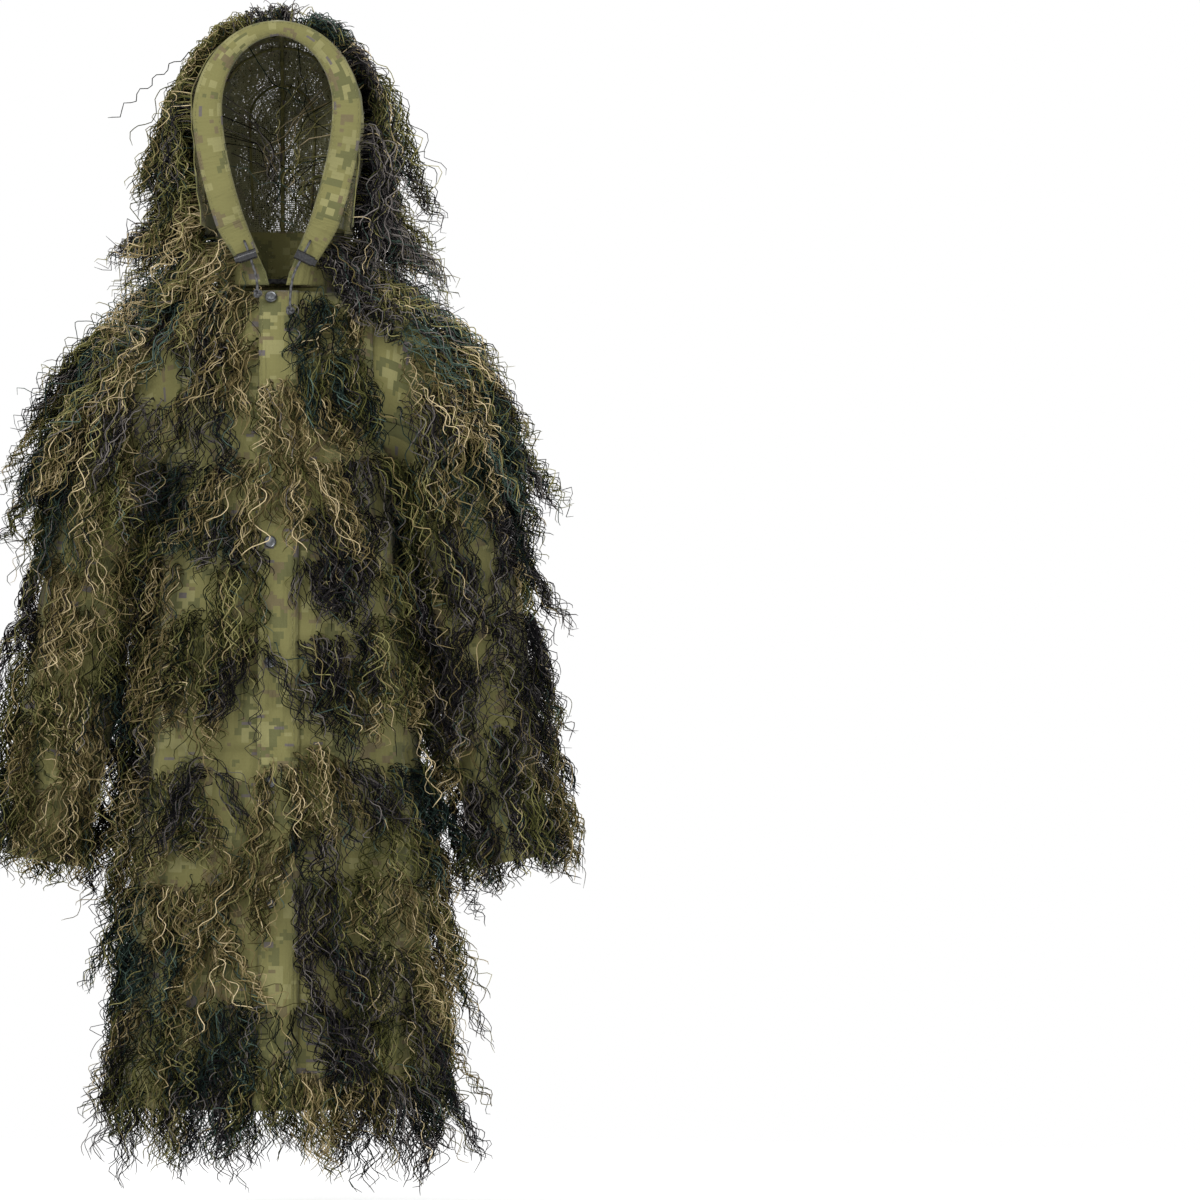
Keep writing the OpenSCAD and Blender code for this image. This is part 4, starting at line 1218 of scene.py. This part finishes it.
def top_aim(x, y):
    def aim(s, h):
        o = np.stack([x + h, y + s, np.full_like(s, 0.2)], axis=1)
        return o, np.tile((0, 0, -1), (len(s), 1))
    return aim


# Tufts that stand up from the tops of the shoulders and spread outwards
for side, letters in ((1, "cotcso"), (-1, "tcstoc")):
    for k, letter in enumerate(letters):
        tree, x = ((TORSO, 0.098), (ARMS[side], 0.150), (ARMS[side], 0.195))[k // 2]
        tuft(tree, top_aim(side * x, (-0.040, 0.040)[k % 2]), 0.060, 0.010, 70, rng.uniform(0.12, 0.15), letter,
             lean=(0.75 * side, -0.25 if k % 2 == 0 else 0.25), lift=(0.008, 0.042))
    for k, letter in enumerate("sco" if side < 0 else "cos"):
        tuft(HOOD, hood_aim(side * (50, 85, 125)[k], -38), 0.070, 0.008, 100, 0.17, letter,
             lean=(0.85 * side, (-0.45, 0.0, 0.3)[k]), lift=(0.008, 0.045))

for side, letters in ((1, "cocot"), (-1, "sotco")):
    for k, letter in enumerate(letters):
        ang = (38, 62, 90, 125, 160)[k]
        tuft(TORSO, polar_aim(side * ang, 0.045), 0.075, 0.010, 95, rng.uniform(0.12, 0.16), letter,
             lean=(0.95 * side * math.sin(math.radians(ang)), -0.7 * math.cos(math.radians(ang))), lift=(0.006, 0.040))

# Hood: (azimuth, elevation, letter, length)
HOOD_TUFTS = [
    (-40, 62, "o", 0.11), (0, 72, "c", 0.05), (40, 62, "t", 0.06),
    (-68, 48, "o", 0.20), (-78, 30, "o", 0.19), (-98, 40, "c", 0.20), (-60, 12, "c", 0.15), (-70, -8, "o", 0.12),
    (68, 45, "c", 0.09), (80, 36, "o", 0.20), (98, 34, "c", 0.20), (66, 0, "c", 0.17), (72, -14, "c", 0.14),
    (-62, -32, "s", 0.11), (64, -32, "o", 0.12), (-47, -22, "o", 0.14), (46, -6, "c", 0.15), (48, -30, "c", 0.13),
    (-52, 20, "o", 0.16), (-50, 4, "o", 0.14), (-84, -26, "t", 0.13), (84, -24, "c", 0.15),
    (-120, 40, "s", 0.17), (-148, 42, "s", 0.19), (180, 50, "c", 0.12), (152, 40, "s", 0.19), (122, 38, "o", 0.18),
    (-110, 5, "o", 0.14), (110, 4, "c", 0.14), (-140, 2, "s", 0.15), (140, 0, "o", 0.15),
    (172, 22, "c", 0.13), (-165, 8, "c", 0.14), (-112, -28, "o", 0.15), (112, -28, "t", 0.15),
    (-150, -26, "t", 0.14), (150, -26, "o", 0.14), (180, -14, "c", 0.13), (180, -36, "t", 0.12),
    (-100, 68, "s", 0.10), (100, 66, "c", 0.10), (180, 74, "t", 0.07)]
for azimuth, elevation, letter, length in HOOD_TUFTS:
    over_rim = -56 < azimuth < -45 and elevation > -10
    tuft(HOOD, hood_aim(azimuth, elevation), 0.070, 0.010, 105, length, letter,
         lean=(0.30, -0.45) if over_rim else (0.0, 0.0), lift=(0.014, 0.036) if over_rim else (0.004, 0.030))


def unit(v):
    return v / (np.linalg.norm(v, axis=-1, keepdims=True) + 1e-12)


def rest_on_cloth(p, want):
    """Lifts every point that lies closer to the cloth than it should."""
    out = p.copy()
    tree = EVERYTHING[0]
    for k in range(len(p)):
        near, normal, _, _ = tree.find_nearest(Vector(p[k]), 0.05)
        if near is not None:
            depth = (out[k] - near).dot(normal[:])
            if depth < want[k]:
                out[k] += np.array(normal[:]) * (want[k] - depth)
    return out


COARSE, RINGS = 12, 25
LIMIT_LOW = np.array([-0.384, -0.184, -1.152])
LIMIT_HIGH = np.array([0.384, 0.176, 0.394])


def keep_within(p):
    """Draws the outermost yarn in softly, so that the coat keeps its overall size."""
    soft = 0.030
    high, low = LIMIT_HIGH - soft, LIMIT_LOW + soft
    p = np.where(p > high, high + soft * np.tanh((p - high) / soft), p)
    return np.where(p < low, low - soft * np.tanh((low - p) / soft), p)


def grow(root, normal, length, lean, lock, lift, wild):
    """Centre lines of strands: out of the cloth, over, and down under their own weight."""
    n = len(root)
    step = (length / (COARSE - 1))[:, None]
    lock_drift = np.random.default_rng(31).normal(0, 1, (lock.max() + 1, 3))[lock]
    own_drift = rng.normal(0, 1, (n, 3))
    fall = np.stack([lean[:, 0], lean[:, 1], -np.ones(n)], axis=1)
    fall += lock_drift * (0.26, 0.12, 0.05) + own_drift * (0.09, 0.09, 0.04) * (1 + 1.0 * wild)[:, None]
    d = unit(normal * 0.85 + np.array([0, 0, 0.42]) + lock_drift * 0.12 + own_drift * 0.18)
    pts = [root - normal * 0.001]
    for k in range(1, COARSE):
        bend = min(1.0, k / 2.5) * 0.55
        d = unit(d * (1 - bend) + fall * bend + normal * 0.06 * (wild[:, None] * 1.2 + 0.4))
        p = pts[-1] + d * step
        p = rest_on_cloth(p, lift * min(1.0, k / 2.0))
        d = unit(p - pts[-1])
        pts.append(pts[-1] + d * step)
    lines = np.stack(pts, axis=1)
    # the yarns of a lock cling together towards its tip
    members = np.bincount(lock, minlength=lock.max() + 1).astype(float)
    middle = np.zeros((lock.max() + 1, COARSE, 3))
    np.add.at(middle, lock, lines)
    middle /= np.maximum(members, 1)[:, None, None]
    cling = (0.50 * smooth(np.linspace(0, 1.4, COARSE)))[None, :, None] * (1 - 0.85 * wild)[:, None, None]
    lines = lines + (middle[lock] - lines) * cling
    for k in range(2, COARSE):
        lines[:, k] = rest_on_cloth(lines[:, k], 0.8 * lift * min(1.0, k / 2.0))
    return lines


def curl(lines, length, lock, wild):
    """Resamples each centre line and winds the yarn's kinks round it; neighbours in a lock wave together."""
    n = len(lines)
    t = np.linspace(0, COARSE - 1, RINGS)
    i = np.clip(t.astype(int), 0, COARSE - 2)
    f = (t - i)[None, :, None]
    p0, p1, p2, p3 = (lines[:, np.clip(i + o, 0, COARSE - 1)] for o in (-1, 0, 1, 2))
    p = 0.5 * (2 * p1 + (p2 - p0) * f + (2 * p0 - 5 * p1 + 4 * p2 - p3) * f ** 2
               + (3 * p1 - p0 - 3 * p2 + p3) * f ** 3)
    s = np.linspace(0, 1, RINGS)[None] * length[:, None]
    locks = np.random.default_rng(32)
    count = lock.max() + 1
    phase = locks.uniform(0, 6.28, (count, 4))[lock] + rng.normal(0, 0.34, (n, 4))
    loose = (rng.random(n) < 0.22)[:, None]
    phase = np.where(loose, rng.uniform(0, 6.28, (n, 4)), phase)
    waves = locks.uniform(0.026, 0.056, (count, 1))[lock] * rng.uniform(0.9, 1.1, (n, 1))
    kinks = rng.uniform(0.016, 0.026, (n, 1))
    tangent = unit(np.gradient(p, axis=1))
    across = unit(np.cross(tangent, np.array([0.25, 1.0, 0.15])))
    out = np.cross(tangent, across)
    grown = smooth(s / 0.030)
    loosen = lerp(0.75, 1.45, np.linspace(0, 1, RINGS) ** 1.5)
    big = grown * (0.0050 + 0.0030 * wild[:, None]) * rng.uniform(0.4, 1.6, (n, 1)) * loosen
    small = grown * 0.0009 * rng.uniform(0.3, 1.7, (n, 1))
    two_pi = 2 * math.pi
    a = big * np.sin(two_pi * s / waves + phase[:, :1]) + small * np.sin(two_pi * s / kinks + phase[:, 1:2])
    b = (0.65 * big * np.sin(two_pi * s / waves * 0.83 + phase[:, 2:3])
         + small * np.cos(two_pi * s / kinks + phase[:, 3:]))
    return keep_within(p + across * a[..., None] + out * b[..., None])


data = {k: np.concatenate(v) for k, v in strands.items()}
lines = grow(data["root"], data["normal"], data["length"], data["lean"], data["lock"], data["lift"], data["wild"])
curled = curl(lines, data["length"], data["lock"], data["wild"])
radius = rng.uniform(0.00050, 0.00080, len(curled))
# Per-strand colour level for the yarn: painted shade from each strand's lift, so strands lying low against the cloth,
# under the others, are darker and high-lifted strands lighter, plus a random tone per strand.
height = np.clip(data["lift"] / 0.022, 0, 1.2)
shade = np.clip(0.10 + 0.48 * height + rng.normal(0, 0.20, len(curled)), 0, 1)

FACES_PER_PIECE = 189000
PER_PIECE = FACES_PER_PIECE // ((RINGS - 1) * 6 + 2)
REPLACES = {"front_left": ["yarn_front_left"], "front_right": ["yarn_front_right"],
            "sleeve_left": ["yarn_sleeve_left"], "sleeve_right": ["yarn_sleeve_right"], "hood": ["yarn_hood"],
            "back": ["yarn_back", "yarn_skirt_back", "yarn_side_left", "yarn_side_right", "yarn_yoke"]}
BENDS = {"hood": BEND_HOOD}
for side in (1, -1):
    BENDS["front_" + BODY[side]] = ("torso", "front_" + BODY[side], *front_bend(side))
    BENDS["head_" + BODY[side]] = ("torso", "sleeve_" + BODY[side], *sleeve_bend(side))
for region, region_name in enumerate(REGIONS):
    for kind, kind_name in enumerate(YARN_KINDS):
        chosen = np.flatnonzero((data["region"] == region) & (data["kind"] == kind))
        for start in range(0, len(chosen), PER_PIECE):
            part = chosen[start:start + PER_PIECE]
            taper = np.concatenate([np.full(RINGS - 2, 1.0), [0.9, 0.45]])
            v, f = tube(curled[part], radius[part, None] * taper[None, :], 3)
            ob = mesh_object(f"yarn_{region_name}_{kind_name}_{start // PER_PIECE + 1}", v, f, [MAT[kind_name]])
            # The 'shade' attribute carries the random tone plus the painted shade into the yarn material.
            tint = ob.data.attributes.new("shade", "FLOAT", "POINT")
            tint.data.foreach_set("value", np.repeat(shade[part], RINGS * 3).astype(np.float32))
            stands_for = REPLACES.get(region_name, ()) if start == 0 and kind == 0 else ()
            attach(ob,
                   region_name if region_name.startswith("sleeve") else "torso", BENDS.get(region_name), stands_for)

# ---------------------------------------------------------------- materials of the CAD pieces that stay
for name, ob in frame["nodes"].items():
    if not ob.hide_render:
        metal = name.startswith(("snap", "eyelet", "lock_spring"))
        ob.data.materials.clear()
        ob.data.materials.append(MAT["metal" if metal else "black"])

# ---------------------------------------------------------------- table of cloth cuts and what lies on each piece, and the stage floor
# What each piece of cloth is cut to before it is sewn: width, length, area where it isn't a rectangle, what holds it
CUTS = {
    "front_cloth_left": (0.290, 1.090, 0.210, "back_cloth"),
    "front_cloth_right": (0.300, 1.090, 0.225, "back_cloth"),
    "back_cloth": (0.620, 1.090, 0.305, "collar_cloth"), "skirt_back_mesh_cloth": (0.370, 0.460, None, "back_cloth"),
    "sleeve_cloth_left": (0.365, 0.480, None, "sleeve_head_left"),
    "sleeve_cloth_right": (0.365, 0.480, None, "sleeve_head_right"),
    "sleeve_head_left": (0.330, 0.200, None, "back_cloth"), "sleeve_head_right": (0.330, 0.200, None, "back_cloth"),
    "sleeve_gusset_left": (0.150, 0.090, 0.011, "back_cloth"),
    "sleeve_gusset_right": (0.150, 0.090, 0.011, "back_cloth"),
    "hood_cloth": (0.650, 0.185, None, "hood_rim_cloth"), "hood_mesh_cloth": (0.480, 0.190, 0.052, "hood_cloth"),
    "collar_cloth": (0.420, 0.088, None, "back_cloth"), "hood_rim_cloth": (0.036, 0.660, None, "hood_cloth"),
    "placket_cloth": (0.050, 1.040, None, "front_cloth_left"),
    "placket_facing_cloth": (0.038, 1.020, None, "placket_cloth"),
    "collar_front_cloth_left": (0.060, 0.064, 0.0029, "front_cloth_left"),
    "collar_front_cloth_right": (0.060, 0.064, 0.0029, "front_cloth_right"),
    "hem_tape_cloth": (0.580, 0.021, None, "back_cloth"), "waist_elastic_band": (0.590, 0.036, None, "back_cloth"),
    "front_hem_cloth_left": (0.205, 0.021, None, "front_cloth_left"),
    "front_hem_cloth_right": (0.250, 0.021, None, "front_cloth_right"),
    "cuff_elastic_band_left": (0.300, 0.021, None, "sleeve_cloth_left"),
    "cuff_elastic_band_right": (0.300, 0.021, None, "sleeve_cloth_right"),
    "neck_tape_cloth": (0.160, 0.014, None, "collar_cloth"),
    "hanger_loop_strap": (0.076, 0.010, 0.00046, "collar_cloth")}
ON_CLOTH = {
    "placket_cloth": ["placket_stitching_0", "placket_stitching_1"],
    "hood_rim_cloth": ["hood_rim_stitching_0", "hood_rim_stitching_1"],
    "hood_cloth": ["hood_cross_seam_0"],
    "hood_mesh_cloth": ["hood_centre_seam", "hood_cross_seam_1", "hood_cross_seam_2"],
    "collar_front_cloth_left": ["collar_stitching_left"], "collar_front_cloth_right": ["collar_stitching_right"],
    "hem_tape_cloth": ["hem_stitching"],
    "neck_tape_cloth": ["neck_tape_stitching_0", "neck_tape_stitching_1"]}
FRINGE = {"front_cloth_left": "yarn_front_left", "front_cloth_right": "yarn_front_right", "back_cloth": "yarn_back",
          "sleeve_cloth_left": "yarn_sleeve_left", "sleeve_cloth_right": "yarn_sleeve_right",
          "sleeve_head_left": "yarn_head_left", "sleeve_head_right": "yarn_head_right", "hood_cloth": "yarn_hood"}
for name, (width, length, area, sewn_to) in CUTS.items():
    on_it = [bpy.data.objects[n] for n in ON_CLOTH.get(name, [])]
    if name in FRINGE:
        on_it += [o for o in bpy.data.objects if o.name.startswith(FRINGE[name] + "_")]

for side, (ob, end, path, length) in tails.items():
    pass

bpy.ops.mesh.primitive_circle_add(vertices=96, radius=1.0, fill_type="NGON", location=(0, 0, -1.150))
floor = bpy.context.object
floor.name = "studio_floor"
floor.scale = (2.2, 2.2, 1)
floor.data.materials.append(floor_material())
